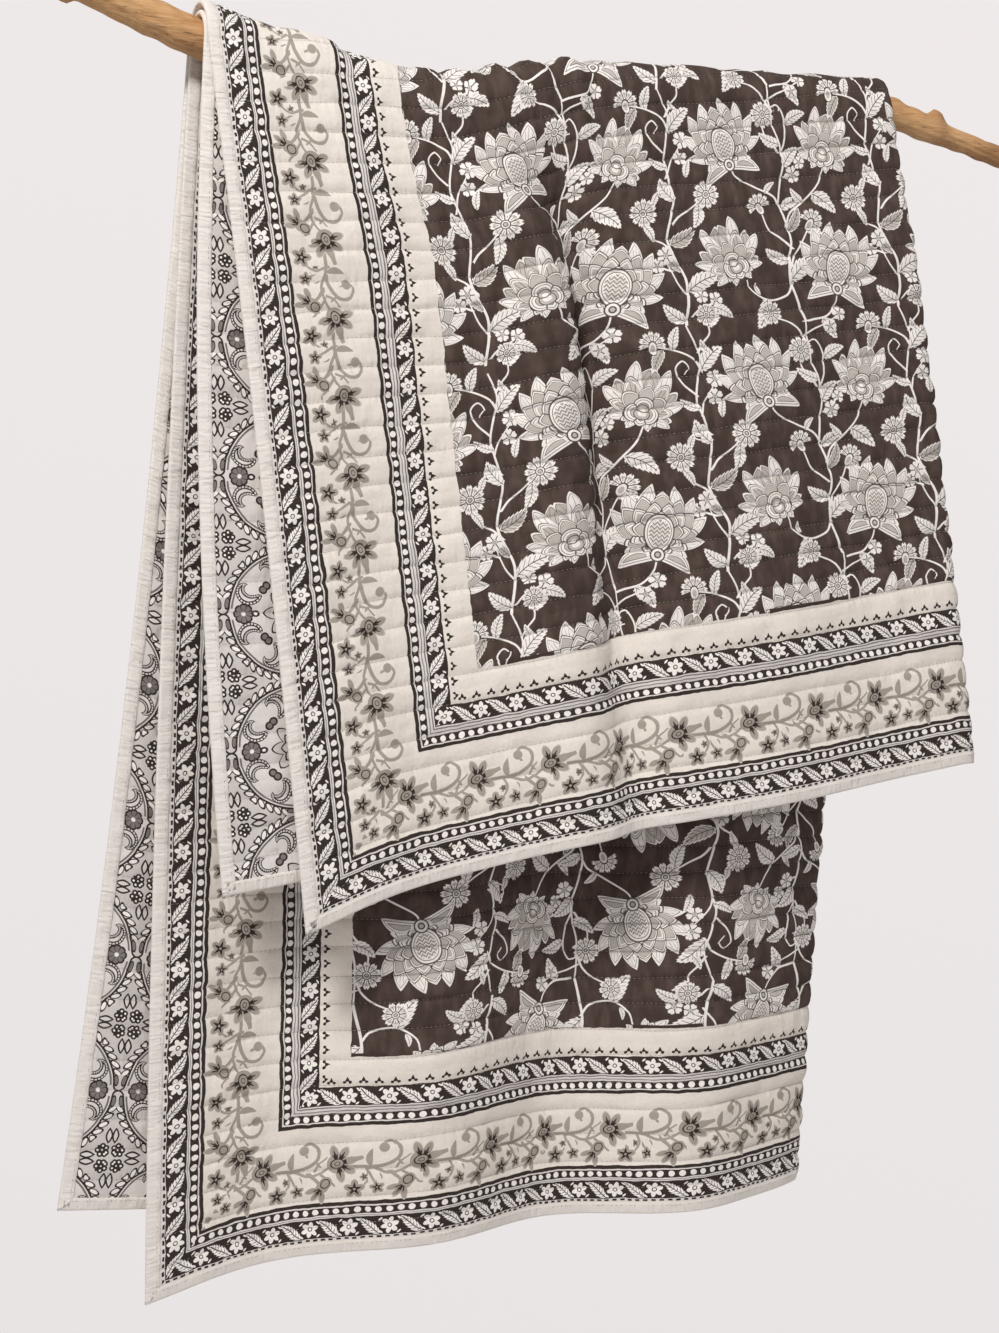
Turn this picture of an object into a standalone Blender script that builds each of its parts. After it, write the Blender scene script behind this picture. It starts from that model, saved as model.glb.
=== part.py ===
"""Quilted cotton throw, folded in half lengthwise and hung over a crooked branch rail.

Metres, +Z up. X runs along the branch, +Y is the back drop, and the origin is on the
branch's axis at mid throw. The throw is one cloth, right side out: layer OUTER is the half
that shows in front and layer INNER the half that lies on the wood. The two halves join at
the fold line, which hangs at +X, and each ends in a free edge at -X.
"""

import math

import bpy
import numpy as np

WIDTH = 1.30  # flat throw, from free edge to free edge
LENGTH = 1.66  # flat throw, from front hem to back hem
ROWS = 71  # quilted channels, parallel to the hems
ROW = LENGTH / ROWS
STITCH_HALF = 0.0015  # half thickness on a quilting line
CREST_HALF = 0.0031  # half thickness at the top of a channel
PRESSED_HALF = 0.0022  # the same where the throw's weight presses on the branch
EDGE_HALF = 0.0012  # half thickness of the raw edge inside the binding
FOLD_LINE = (0.628, 0.682)  # width of the outer half at the front and the back hem

BINDING_WIDTH = 0.010
BINDING_WALL = 0.0009
BINDING_HALF = 0.0028  # half thickness over both walls
RAW_EDGE = 0.0016  # the raw edge lies this far inside the binding's outer edge

CLOTH_GAP = 0.0023  # from the wood to the pressed channels, before the mesh's flats
HALF_SPACING = 0.0038  # from the mid surface to either half, over the branch
HALF_SPACING_HEM = {"front": 0.0055, "back": 0.0075}
TURN_RADIUS = 0.005  # of the half turn at the fold line, over the branch
TURN_RADIUS_HEM = {"front": 0.014, "back": 0.020}
TURN_REACH = 0.060  # how far from the fold line the two halves still splay apart
SPACING_GROWN = 0.33  # share of the drop over which the halves part to their full spacing
LEAN = 0.020  # radians that each drop stands off the vertical
DROP_SIZE = {"front": 0.62, "back": 0.94}  # the scale for where folds start
NEAR_BRANCH = (0.600, 0.760)  # stretch of the cloth, from the front hem, that can lie over it
HEM_FLAT = 0.013  # flat edge under the binding
HEM_RAMP = 0.012
SIDES = ("front", "back")
OUTER, INNER = 1, -1

# The branch, from sawn end to sawn end.
BRANCH_COLUMNS = ("x", "z", "radius")
BRANCH = (
    (-0.448, 0.0500, 0.0156),
    (-0.412, 0.0390, 0.0152),
    (-0.369, 0.0245, 0.0149),
    (-0.325, 0.0105, 0.0147),
    (-0.282, -0.0010, 0.0145),
    (-0.227, -0.0120, 0.0142),
    (-0.177, -0.0205, 0.0139),
    (-0.125, -0.0240, 0.0136),
    (-0.085, -0.0180, 0.0134),
    (-0.035, -0.0050, 0.0131),
    (0.000, 0.0000, 0.0130),
    (0.088, 0.0040, 0.0125),
    (0.151, 0.0074, 0.0122),
    (0.217, 0.0105, 0.0119),
    (0.281, 0.0125, 0.0117),
    (0.304, 0.0100, 0.0115),
    (0.338, 0.0015, 0.0108),
    (0.356, -0.0030, 0.0092),
    (0.412, -0.0170, 0.0088),
    (0.455, -0.0275, 0.0086),
)
BRANCH_SIDES = 14
BRANCH_STEP = 0.016

# Knots grow out of the branch's side. around is measured from the top, towards +Y.
KNOT_COLUMNS = ("x", "around", "height", "length", "spread")
KNOTS = (
    (-0.404, 165, 0.0060, 0.012, 38),
    (-0.372, 300, 0.0016, 0.014, 34),
    (0.297, -6, 0.0030, 0.010, 40),
    (0.344, 8, 0.0062, 0.010, 34),
    (0.420, 250, 0.0018, 0.012, 40),
)

# x of each free edge and of the fold line, at the crest, half way down and at the hem.
EDGES = {
    (OUTER, "front"): (-0.331, -0.291, -0.257),
    (INNER, "front"): (-0.331, -0.337, -0.320),
    (OUTER, "back"): (-0.331, -0.371, -0.429),
    (INNER, "back"): (-0.331, -0.354, -0.363),
}
FOLD_EDGE = {"front": (0.281, 0.322, 0.357), "back": (0.281, 0.262, 0.240)}

# Height of each hem. across runs from 0 at the fold line to 1 at the free edge.
HEM_COLUMNS = ("across", "z")
HEMS = {
    (OUTER, "front"): (
        (0.00, -0.557),
        (0.30, -0.588),
        (0.57, -0.613),
        (0.74, -0.633),
        (0.90, -0.656),
        (1.00, -0.679),
    ),
    (INNER, "front"): ((0.00, -0.557), (0.50, -0.600), (1.00, -0.648)),
    (OUTER, "back"): ((0.00, -0.930), (0.50, -0.918), (1.00, -0.894)),
    (INNER, "back"): (
        (0.00, -0.930),
        (0.20, -0.935),
        (0.60, -0.940),
        (0.80, -0.948),
        (0.92, -0.959),
        (1.00, -0.971),
    ),
}

# Soft folds down the drops. top and hem are how far each lies from the fold line, along the
# cloth, angle is its steepest slope in degrees (a ridge is positive, a valley negative) and
# half_width the distance from its middle to that slope. It starts below the branch at start
# and is full at full, and fade is what is left of it at the hem.
FOLD_COLUMNS = ("name", "side", "top", "hem", "angle", "half_width", "start", "full", "fade")
FOLDS = (
    ("tuck valley", "front", 0.332, 0.312, -56, 0.019, 0.020, 0.150, 0.42),
    ("tuck ridge", "front", 0.384, 0.366, 26, 0.024, 0.015, 0.120, 0.50),
    ("right swell", "front", 0.200, 0.170, 7, 0.060, 0.050, 0.300, 1.00),
    ("left hollow", "front", 0.520, 0.490, -8, 0.050, 0.060, 0.300, 0.90),
    ("near valley", "back", 0.130, 0.125, -17, 0.040, 0.100, 0.500, 1.00),
    ("near ridge", "back", 0.260, 0.250, 17, 0.045, 0.100, 0.500, 1.00),
    ("far valley", "back", 0.385, 0.385, -15, 0.045, 0.100, 0.500, 1.00),
    ("far ridge", "back", 0.505, 0.520, 11, 0.045, 0.100, 0.500, 1.00),
)
CURL_ANGLE = 34  # degrees that the back drop turns away at the fold line, at the hem
CURL_REACH = 0.075

# Where the cloth's mesh has its columns, as distances from the fold line along the mid
# surface: at the crest, the front hem and the back hem. They follow the folds' middles and
# shoulders.
COLUMNS_ACROSS = (
    (0.110, 0.130, 0.128),
    (0.290, 0.270, 0.250),
    (0.332, 0.312, 0.318),
    (0.374, 0.356, 0.385),
    (0.480, 0.475, 0.512),
)
OUTER_COLUMN = (0.545, 0.540, 0.590)  # the outer half turns further over the branch here

COTTON = (0.62, 0.58, 0.53)
CREAM = (0.75, 0.71, 0.62)
WOOD = (0.48, 0.26, 0.11)


def column(table, names, name):
    return np.array([row[names.index(name)] for row in table], float)


def smooth_curve(xs, ys, x):
    """A curve through the points (xs, ys), with the slope at each from its neighbours."""
    xs, ys = np.asarray(xs, float), np.asarray(ys, float)
    slope = np.gradient(ys, xs)
    x = np.clip(x, xs[0], xs[-1])
    k = np.clip(np.searchsorted(xs, x) - 1, 0, len(xs) - 2)
    span = xs[k + 1] - xs[k]
    t = (x - xs[k]) / span
    return (
        ys[k] * (1 + 2 * t) * (1 - t) ** 2
        + ys[k + 1] * t**2 * (3 - 2 * t)
        + span * (slope[k] * t * (1 - t) ** 2 - slope[k + 1] * t**2 * (1 - t))
    )


def ease(t):
    t = np.clip(t, 0, 1)
    return t * t * (3 - 2 * t)


def through(three, t):
    """The parabola with the given values at t = 0, 0.5 and 1."""
    first, mid, last = three
    return first + t * (4 * mid - 3 * first - last) + t * t * 2 * (first - 2 * mid + last)


def branch_z(x):
    return smooth_curve(
        column(BRANCH, BRANCH_COLUMNS, "x"), column(BRANCH, BRANCH_COLUMNS, "z"), x
    )


def branch_radius(x):
    return smooth_curve(
        column(BRANCH, BRANCH_COLUMNS, "x"), column(BRANCH, BRANCH_COLUMNS, "radius"), x
    )


def branch_rise(x):
    """How much taller than round the branch's upright section is, where it slopes."""
    slope = (branch_z(x + 0.002) - branch_z(x - 0.002)) / 0.004
    return np.sqrt(1 + slope * slope)


class Drop:
    """One drop's mid surface, between the two halves: a table over the height and the width."""

    STEPS_DOWN = 61
    STEPS_ACROSS = 361
    REACH = 0.80

    def __init__(self, side):
        self.side = side
        self.down = np.linspace(0, 1, self.STEPS_DOWN)
        self.across = np.linspace(0, self.REACH, self.STEPS_ACROSS)
        t, m = np.meshgrid(self.down, self.across, indexing="ij")
        self.angle = self.fold_angle(t, m)
        step = self.across[1]
        self.sideways = self.running_total(np.cos(self.angle), step)
        self.outward = self.running_total(np.sin(self.angle), step)
        self.outward -= self.outward[:, -1:]

    @staticmethod
    def running_total(values, step):
        middles = (values[:, 1:] + values[:, :-1]) / 2
        return np.pad(np.cumsum(middles, axis=1) * step, ((0, 0), (1, 0)))

    def fold_angle(self, t, m):
        """Slope of the mid surface, where t runs down the drop and m away from the fold line."""
        drop = DROP_SIZE[self.side]
        angle = np.zeros_like(t)
        for row in FOLDS:
            fold = dict(zip(FOLD_COLUMNS, row))
            if fold["side"] != self.side:
                continue
            middle = fold["top"] + (fold["hem"] - fold["top"]) * t
            way = (m - middle) / fold["half_width"]
            grown = ease((t * drop - fold["start"]) / (fold["full"] - fold["start"]))
            left = 1 - (1 - fold["fade"]) * ease((t * drop - fold["full"]) / (drop - fold["full"]))
            steep = math.radians(fold["angle"]) * grown * left
            angle -= steep * way * np.exp((1 - way * way) / 2)
        if self.side == "back":
            angle -= math.radians(CURL_ANGLE) * t**1.3 * np.exp(-((m / CURL_REACH) ** 2))
        return angle

    def read(self, table, t, m):
        """The table's value at t and m, straight between its steps."""
        row = np.clip(t, 0, 1) * (self.STEPS_DOWN - 1)
        col = np.clip(m / self.across[1], 0, self.STEPS_ACROSS - 1)
        i = np.minimum(row.astype(int), self.STEPS_DOWN - 2)
        j = np.minimum(col.astype(int), self.STEPS_ACROSS - 2)
        row, col = row - i, col - j
        near = table[i, j] * (1 - col) + table[i, j + 1] * col
        far = table[i + 1, j] * (1 - col) + table[i + 1, j + 1] * col
        return near * (1 - row) + far * row

    def free_edge(self, layer, t):
        """How far the free edge lies from the fold line along the mid surface."""
        wide = (
            through(FOLD_EDGE[self.side], self.down)
            - turn_radius(self.side, self.down)
            - through(EDGES[layer, self.side], self.down)
        )
        ends = [np.interp(w, row, self.across) for w, row in zip(wide, self.sideways)]
        return np.interp(t, self.down, ends)


def turn_radius(side, t):
    return TURN_RADIUS + (TURN_RADIUS_HEM[side] - TURN_RADIUS) * t


DROPS = {side: Drop(side) for side in SIDES}


def crest_x(layer, across):
    start = FOLD_EDGE["front"][0] - TURN_RADIUS
    return start + (EDGES[layer, "front"][0] - start) * across


def crest_radius(x, offset):
    """Radius that the cloth bends to over the branch, offset from the mid surface."""
    return branch_radius(x) + CLOTH_GAP + PRESSED_HALF + HALF_SPACING + offset


def drop_length(layer, side, across):
    """Length of cloth from the crest to the hem, as (over the branch, hanging)."""
    x = crest_x(layer, across)
    radius = crest_radius(x, layer * HALF_SPACING)
    hem = smooth_curve(
        column(HEMS[layer, side], HEM_COLUMNS, "across"),
        column(HEMS[layer, side], HEM_COLUMNS, "z"),
        across,
    )
    over = (math.pi / 2 - LEAN) * radius
    return over, (branch_z(x) + radius * math.sin(LEAN) - hem) / math.cos(LEAN)


def position(layer, from_fold, along):
    """World points of the cloth's mid thickness, from its flat coordinates.

    from_fold is the distance from the fold line and along the distance from the front hem.
    """
    from_fold, along = np.broadcast_arrays(from_fold, along)
    at_fold = cloth_place(layer, np.zeros_like(along), along)
    radius = np.where(
        at_fold["front"],
        turn_radius("front", at_fold["t"]),
        turn_radius("back", at_fold["t"]),
    )
    outer_width = FOLD_LINE[0] + (FOLD_LINE[1] - FOLD_LINE[0]) * along / LENGTH
    width = outer_width if layer == OUTER else WIDTH - outer_width
    flat = from_fold - math.pi / 2 * radius
    across = np.clip(flat, 0, None) / (width - math.pi / 2 * radius)
    place = cloth_place(layer, across, along)
    points = np.zeros(along.shape + (3,))
    for side in SIDES:
        here = place["front"] == (side == "front")
        points[here] = drop_points(
            layer,
            side,
            from_fold[here],
            flat[here],
            across[here],
            {name: value[here] for name, value in place.items()},
        )
    return points


def cloth_place(layer, across, along):
    """Which drop each point is on, s from the crest, and t down the hanging part."""
    front_over, front_hang = drop_length(layer, "front", across)
    back_over, back_hang = drop_length(layer, "back", across)
    front = front_over + front_hang
    total = front + back_over + back_hang
    s = along * total / LENGTH - front
    is_front = s < 0
    over = np.where(is_front, front_over, back_over)
    hang = np.where(is_front, front_hang, back_hang)
    rest = np.clip(np.abs(s) - over, 0, None)
    return {"front": is_front, "s": np.abs(s), "rest": rest, "t": rest / hang}


def drop_points(layer, side, from_fold, flat, across, place):
    drop = DROPS[side]
    t = place["t"]
    radius = turn_radius(side, t)
    m = across * drop.free_edge(layer, t)
    angle = drop.read(drop.angle, t, m)
    spacing = HALF_SPACING + (HALF_SPACING_HEM[side] - HALF_SPACING) * ease(t / SPACING_GROWN)
    splay = np.exp(-((np.clip(flat, 0, None) / TURN_REACH) ** 2))
    turned = np.clip(from_fold / radius, 0, math.pi / 2)
    in_turn = flat < 0
    spacing = np.where(in_turn, radius * np.sin(turned), spacing + (radius - spacing) * splay)
    back_from_turn = np.where(in_turn, -radius * np.cos(turned), 0)
    sideways = drop.read(drop.sideways, t, m)
    sideways = sideways + back_from_turn * np.cos(angle) - layer * spacing * np.sin(angle)
    outward = drop.read(drop.outward, t, m)
    outward = outward + back_from_turn * np.sin(angle) + layer * spacing * np.cos(angle)

    x_crest = crest_x(layer, across)
    at_crest = layer * crest_spacing(from_fold, flat)
    bend = crest_radius(x_crest, at_crest)
    turn = np.minimum(place["s"] / bend, math.pi / 2 - LEAN)
    beyond = outward - at_crest
    out = bend * np.sin(turn) + place["rest"] * math.sin(LEAN)
    up = bend * np.cos(turn) * branch_rise(x_crest) - place["rest"] * math.cos(LEAN)
    out = out + beyond * np.sin(turn)
    up = up + beyond * np.cos(turn)
    x = through(FOLD_EDGE[side], t) - radius - sideways
    y = -out if side == "front" else out
    return np.stack([x, y, branch_z(x_crest) + up], axis=-1)


def crest_spacing(from_fold, flat):
    """Half spacing of the two halves where they lie over the branch."""
    turned = np.clip(from_fold / TURN_RADIUS, 0, math.pi / 2)
    splay = np.exp(-((np.clip(flat, 0, None) / TURN_REACH) ** 2))
    return np.where(
        flat < 0,
        TURN_RADIUS * np.sin(turned),
        HALF_SPACING + (TURN_RADIUS - HALF_SPACING) * splay,
    )


def row_lines():
    """Distances of the mesh's lines from the front hem: each quilting line and channel top."""
    coarse = np.arange(1, 2 * ROWS) * ROW / 2
    fine = np.arange(*NEAR_BRANCH, ROW / 2) // (ROW / 2) * (ROW / 2) + ROW / 4
    return np.unique(np.round(np.concatenate([[RAW_EDGE, LENGTH - RAW_EDGE], coarse, fine]), 7))


def column_from_fold(layer, places, along):
    """Flat distance from the fold line of one column, as (half turn, column, whole width)."""
    outer_width = FOLD_LINE[0] + (FOLD_LINE[1] - FOLD_LINE[0]) * along / LENGTH
    width = outer_width if layer == OUTER else WIDTH - outer_width
    at_fold = cloth_place(layer, np.zeros_like(along), along)
    radius = np.where(
        at_fold["front"],
        turn_radius("front", at_fold["t"]),
        turn_radius("back", at_fold["t"]),
    )
    turn = math.pi / 2 * radius
    crest, front, back = places
    across = np.full_like(along, crest / WIDTH * 2)
    for _ in range(6):
        place = cloth_place(layer, across, along)
        t = place["t"]
        m = crest + (np.where(place["front"], front, back) - crest) * t
        edge = np.where(
            place["front"],
            DROPS["front"].free_edge(layer, t),
            DROPS["back"].free_edge(layer, t),
        )
        across = m / edge
    return turn, turn + across * (width - turn), width


def cloth_grid():
    """Mid points of the cloth, as rows down the lines and columns across both halves."""
    along = row_lines()
    halves = {}
    for layer in (OUTER, INNER):
        turn, _, width = column_from_fold(layer, (0.0, 0.0, 0.0), along)
        places = [turn / 2, turn]
        rows = COLUMNS_ACROSS + (OUTER_COLUMN,) * (layer == OUTER)
        places += [column_from_fold(layer, row, along)[1] for row in rows]
        places.append(width - RAW_EDGE)
        halves[layer] = [position(layer, place, along) for place in places]
    fold = position(OUTER, np.zeros_like(along), along)
    columns = halves[OUTER][::-1] + [fold] + halves[INNER]
    return along, np.stack(columns, axis=1)


def grid_normals(grid):
    """Unit normals towards the right side of the cloth."""
    down = np.gradient(grid, axis=0)
    across = np.gradient(grid, axis=1)
    normal = np.cross(across, down)
    return normal / np.linalg.norm(normal, axis=2, keepdims=True)


def half_thickness(along, grid):
    """Half thickness over the grid: channels between stitched lines, flat at the edges."""
    channel = np.sin(math.pi * along / ROW)[:, None] ** 2
    from_hem = np.minimum(along, LENGTH - along)[:, None]
    above_wood = grid[:, :, 2] - branch_z(grid[:, :, 0])
    pressed = ease(0.5 + above_wood / 0.020)
    crest = CREST_HALF + (PRESSED_HALF - CREST_HALF) * pressed
    half = STITCH_HALF + (crest - STITCH_HALF) * channel * ease((from_hem - HEM_FLAT) / HEM_RAMP)
    half = np.where(from_hem < HEM_FLAT, EDGE_HALF, half)
    half[:, [0, -1]] = EDGE_HALF
    return half


def slab_faces(rows, columns):
    """Faces of a closed slab: the front grid, then the back grid, then the four sides."""
    index = np.arange(rows * columns).reshape(rows, columns)
    back = index + rows * columns
    a, b, c, d = index[:-1, :-1], index[:-1, 1:], index[1:, 1:], index[1:, :-1]
    faces = np.stack([a, b, c, d], axis=-1).reshape(-1, 4).tolist()
    faces += (np.stack([d, c, b, a], axis=-1) + rows * columns).reshape(-1, 4).tolist()
    rim = np.concatenate([index[0, :], index[1:, -1], index[-1, -2::-1], index[-2:0:-1, 0]])
    far = np.concatenate([back[0, :], back[1:, -1], back[-1, -2::-1], back[-2:0:-1, 0]])
    for k in range(len(rim)):
        n = (k + 1) % len(rim)
        faces.append([rim[n], rim[k], far[k], far[n]])
    return faces


def add_mesh(name, points, faces, colour, roughness):
    mesh = bpy.data.meshes.new(name)
    mesh.from_pydata([tuple(p) for p in points], [], [[int(i) for i in f] for f in faces])
    mesh.validate()
    obj = bpy.data.objects.new(name, mesh)
    bpy.context.scene.collection.objects.link(obj)
    mesh.shade_smooth()
    mesh.set_sharp_from_angle(angle=math.radians(50))
    material = bpy.data.materials.new(name)
    material.use_nodes = True
    shader = material.node_tree.nodes["Principled BSDF"]
    shader.inputs["Base Color"].default_value = (*colour, 1)
    shader.inputs["Roughness"].default_value = roughness
    mesh.materials.append(material)
    return obj


def add_quilt(grid, normals, half):
    rows, columns = grid.shape[:2]
    right = grid + normals * half[:, :, None]
    wrong = grid - normals * half[:, :, None]
    points = np.concatenate([right.reshape(-1, 3), wrong.reshape(-1, 3)])
    return add_mesh("quilt", points, slab_faces(rows, columns), COTTON, 0.9)


def unit(vectors):
    return vectors / np.linalg.norm(vectors, axis=-1, keepdims=True)


def binding_stations(along, columns):
    """Grid places round the edge, as (row, column, row step inwards, column step inwards)."""
    last_row, last_col = len(along) - 1, columns - 1
    near_branch = (along > NEAR_BRANCH[0] - ROW) & (along < NEAR_BRANCH[1] + ROW)
    stitch_lines = np.round(along / ROW, 3) % 2 == 0
    rows = [i for i in range(2, last_row - 1) if near_branch[i] or stitch_lines[i]]
    places = [(0, 0, 1, 1)]
    places += [(i, 0, 0, 1) for i in rows]
    places += [(last_row, 0, -1, 1)]
    places += [(last_row, j, -1, 0) for j in range(1, last_col)]
    places += [(last_row, last_col, -1, -1)]
    places += [(i, last_col, 0, -1) for i in reversed(rows)]
    places += [(0, last_col, 1, -1)]
    places += [(0, j, 1, 0) for j in range(last_col - 1, 0, -1)]
    return places


def add_binding(along, grid, normals):
    """A folded strip round all four edges: a U section, mitred at the corners."""
    inner = BINDING_HALF - BINDING_WALL
    section = (
        (0, BINDING_HALF),
        (BINDING_WIDTH, BINDING_HALF),
        (BINDING_WIDTH, inner),
        (BINDING_WALL, inner),
        (BINDING_WALL, -inner),
        (BINDING_WIDTH, -inner),
        (BINDING_WIDTH, -BINDING_HALF),
        (0, -BINDING_HALF),
    )
    points = []
    for i, j, row_step, column_step in binding_stations(along, grid.shape[1]):
        inwards = np.zeros(3)
        if row_step:
            inwards += unit(grid[i + row_step, j] - grid[i, j])
        if column_step:
            inwards += unit(grid[i, j + column_step] - grid[i, j])
        for inset, height in section:
            points.append(grid[i, j] + inwards * (inset - RAW_EDGE) + normals[i, j] * height)
    sides = len(section)
    stations = len(points) // sides
    faces = []
    for k in range(stations):
        n = (k + 1) % stations
        for c in range(sides):
            d = (c + 1) % sides
            faces.append([k * sides + c, k * sides + d, n * sides + d, n * sides + c])
    return add_mesh("binding", points, faces, CREAM, 0.85)


def knot_height(x, around):
    height = np.zeros_like(around)
    for row in KNOTS:
        knot = dict(zip(KNOT_COLUMNS, row))
        turn = (around - knot["around"] + 180) % 360 - 180
        along = (x - knot["x"]) / knot["length"]
        height += knot["height"] * np.exp(-(along**2) - (turn / knot["spread"]) ** 2)
    return height


def branch_stations():
    ends = column(BRANCH, BRANCH_COLUMNS, "x")[[0, -1]]
    even = np.linspace(ends[0], ends[1], round((ends[1] - ends[0]) / BRANCH_STEP) + 1)
    knots = column(KNOTS, KNOT_COLUMNS, "x")
    close = np.concatenate([knots - 0.006, knots + 0.006])
    keep = [x for x in even if np.abs(close - x).min() > 0.004]
    return np.sort(np.concatenate([keep, close]))


def add_branch():
    """A bar with upright rings, so that both sawn ends face straight along X."""
    around = np.arange(BRANCH_SIDES) * 360 / BRANCH_SIDES
    turn = np.radians(around)
    points = []
    for x in branch_stations():
        radius = branch_radius(x) + knot_height(x, around)
        y = radius * np.sin(turn)
        z = branch_z(x) + radius * np.cos(turn) * branch_rise(x)
        points += [(x, y[k], z[k]) for k in range(BRANCH_SIDES)]
    rings = len(points) // BRANCH_SIDES
    faces = [list(range(BRANCH_SIDES))]
    for r in range(rings - 1):
        for k in range(BRANCH_SIDES):
            n = (k + 1) % BRANCH_SIDES
            low, high = r * BRANCH_SIDES, (r + 1) * BRANCH_SIDES
            faces.append([low + n, low + k, high + k, high + n])
    last = (rings - 1) * BRANCH_SIDES
    faces.append([last + k for k in reversed(range(BRANCH_SIDES))])
    return add_mesh("branch", points, faces, WOOD, 0.6)


def main():
    for obj in list(bpy.data.objects):
        bpy.data.objects.remove(obj, do_unlink=True)
    along, grid = cloth_grid()
    normals = grid_normals(grid)
    add_quilt(grid, normals, half_thickness(along, grid))
    add_binding(along, grid, normals)
    add_branch()


main()
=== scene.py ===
# A quilted cotton throw, folded in half lengthwise and hung over a crooked branch.
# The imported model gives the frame: metres, +X along the branch, +Y the back drop, +Z up.
import math
import bpy, bmesh
import numpy as np
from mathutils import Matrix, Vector, kdtree


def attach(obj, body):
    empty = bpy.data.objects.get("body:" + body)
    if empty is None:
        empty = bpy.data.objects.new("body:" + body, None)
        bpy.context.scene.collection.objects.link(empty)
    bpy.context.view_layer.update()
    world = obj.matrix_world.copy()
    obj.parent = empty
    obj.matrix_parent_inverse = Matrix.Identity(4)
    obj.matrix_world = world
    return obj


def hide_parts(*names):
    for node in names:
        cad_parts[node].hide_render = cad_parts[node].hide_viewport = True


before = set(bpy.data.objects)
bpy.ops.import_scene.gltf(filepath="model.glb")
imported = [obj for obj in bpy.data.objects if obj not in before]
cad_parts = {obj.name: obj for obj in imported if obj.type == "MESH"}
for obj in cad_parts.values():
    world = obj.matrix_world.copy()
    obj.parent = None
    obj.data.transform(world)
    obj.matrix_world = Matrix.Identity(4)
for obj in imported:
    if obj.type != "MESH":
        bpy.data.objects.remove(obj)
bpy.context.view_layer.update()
print("frame loaded")

throw = {
    "width": 1.30,  # flat, from free edge to free edge
    "length": 1.66,  # flat, from front hem to back hem
    "rows": 71,  # quilted channels
    "foldLine": (0.628, 0.682),  # width of the outer half at the front and the back hem
    "stitchHalf": 0.0011,  # half thickness on a quilting line
    "crestHalf": 0.0036,  # the same at the top of a channel
    "pressedHalf": 0.0024,  # and there over the branch
    "clothGap": 0.0016,  # from the wood to the pressed channels
    "spacing": 0.0038,  # from the mid surface to either half, over the branch
    "spacingHem": {"front": 0.0055, "back": 0.0075},
    "spacingGrown": 0.33,  # share of a drop over which that grows
    "turnRadius": 0.005,  # of the half turn at the fold line, over the branch
    "turnRadiusHem": {"front": 0.014, "back": 0.020},
    "turnReach": 0.060,  # over which the halves close up beside the fold line
    "lean": 0.020,  # radians that each drop stands off the vertical
    "curlAngle": 34,  # degrees that the back drop turns at its fold line
    "curlReach": 0.075,
    "dropTable": (121, 721, 0.80),  # rows, columns and reach of each drop's table
    "step": (-0.219, 0.080, 0.009, 0.0055),  # ridge by the border: x, reach, front, height
    "hump": (0.088, 0.030, 0.0022),  # x, half width and height
    "gathers": (-0.105, 0.055, 0.021, 0.0030),  # middle, reach, pitch and height in the dip
    "gatherFan": 3.5,  # how the gathers spread down the cloth
    "gatherSway": (1.3, 2.1),  # how far and how often their pitch changes
    "lumps": (0.0007, 151, 43),  # small waves along the whole top: height, pace and sway
    "heldDown": (0.75, 0.018),  # share and height of the pulled folds lost on the branch
    "crestFade": (0.050, 0.085),  # how far down the ridge and the gathers reach
    "pulledFolds": (  # x at the top, slant, reach down the cloth, height, half width
        (-0.150, 0.45, 0.060, 0.0060, 0.0080), (-0.118, 0.40, 0.085, 0.0090, 0.0085),
        (-0.090, 0.35, 0.110, 0.0105, 0.0090), (-0.058, 0.20, 0.070, 0.0075, 0.0085),
        (-0.026, 0.10, 0.065, 0.0100, 0.0080),
    ),
}
rowPitch = throw["length"] / throw["rows"]
outer, inner = 1, -1

branchTable = (  # x, z, radius
    (-0.448, 0.0535, 0.0134), (-0.412, 0.0412, 0.0142), (-0.369, 0.0253, 0.0146),
    (-0.325, 0.0105, 0.0147), (-0.282, -0.0010, 0.0145), (-0.227, -0.0120, 0.0142),
    (-0.177, -0.0205, 0.0139), (-0.125, -0.0240, 0.0136), (-0.085, -0.0180, 0.0134),
    (-0.035, -0.0050, 0.0131), (0.000, 0.0000, 0.0130), (0.088, 0.0040, 0.0125),
    (0.151, 0.0074, 0.0122), (0.217, 0.0105, 0.0119), (0.281, 0.0125, 0.0117), (0.304, 0.0100, 0.0115),
    (0.338, 0.0015, 0.0108), (0.356, -0.0030, 0.0092), (0.412, -0.0170, 0.0088),
    (0.455, -0.0275, 0.0086),
)
branchX, branchHeight, branchThick = np.array(branchTable).T

# x of the free edges and of the fold line, at the crest, half way down and at the hem
edgeLines = {
    (outer, "front"): (-0.331, -0.291, -0.257),
    (inner, "front"): (-0.331, -0.337, -0.320),
    (outer, "back"): (-0.331, -0.371, -0.429),
    (inner, "back"): (-0.331, -0.354, -0.363),
}
foldEdge = {"front": (0.281, 0.322, 0.357), "back": (0.281, 0.262, 0.240)}

hemLines = {  # places from 0 at the fold line to 1 at the free edge, and their heights
    (outer, "front"): (
        (0.00, 0.30, 0.57, 0.74, 0.90, 1.00),
        (-0.557, -0.588, -0.613, -0.633, -0.656, -0.679),
    ),
    (inner, "front"): ((0.00, 0.50, 1.00), (-0.557, -0.600, -0.648)),
    (outer, "back"): ((0.00, 0.50, 1.00), (-0.930, -0.918, -0.894)),
    (inner, "back"): (
        (0.00, 0.20, 0.60, 0.80, 0.92, 1.00),
        (-0.930, -0.935, -0.940, -0.948, -0.959, -0.971),
    ),
}

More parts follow.
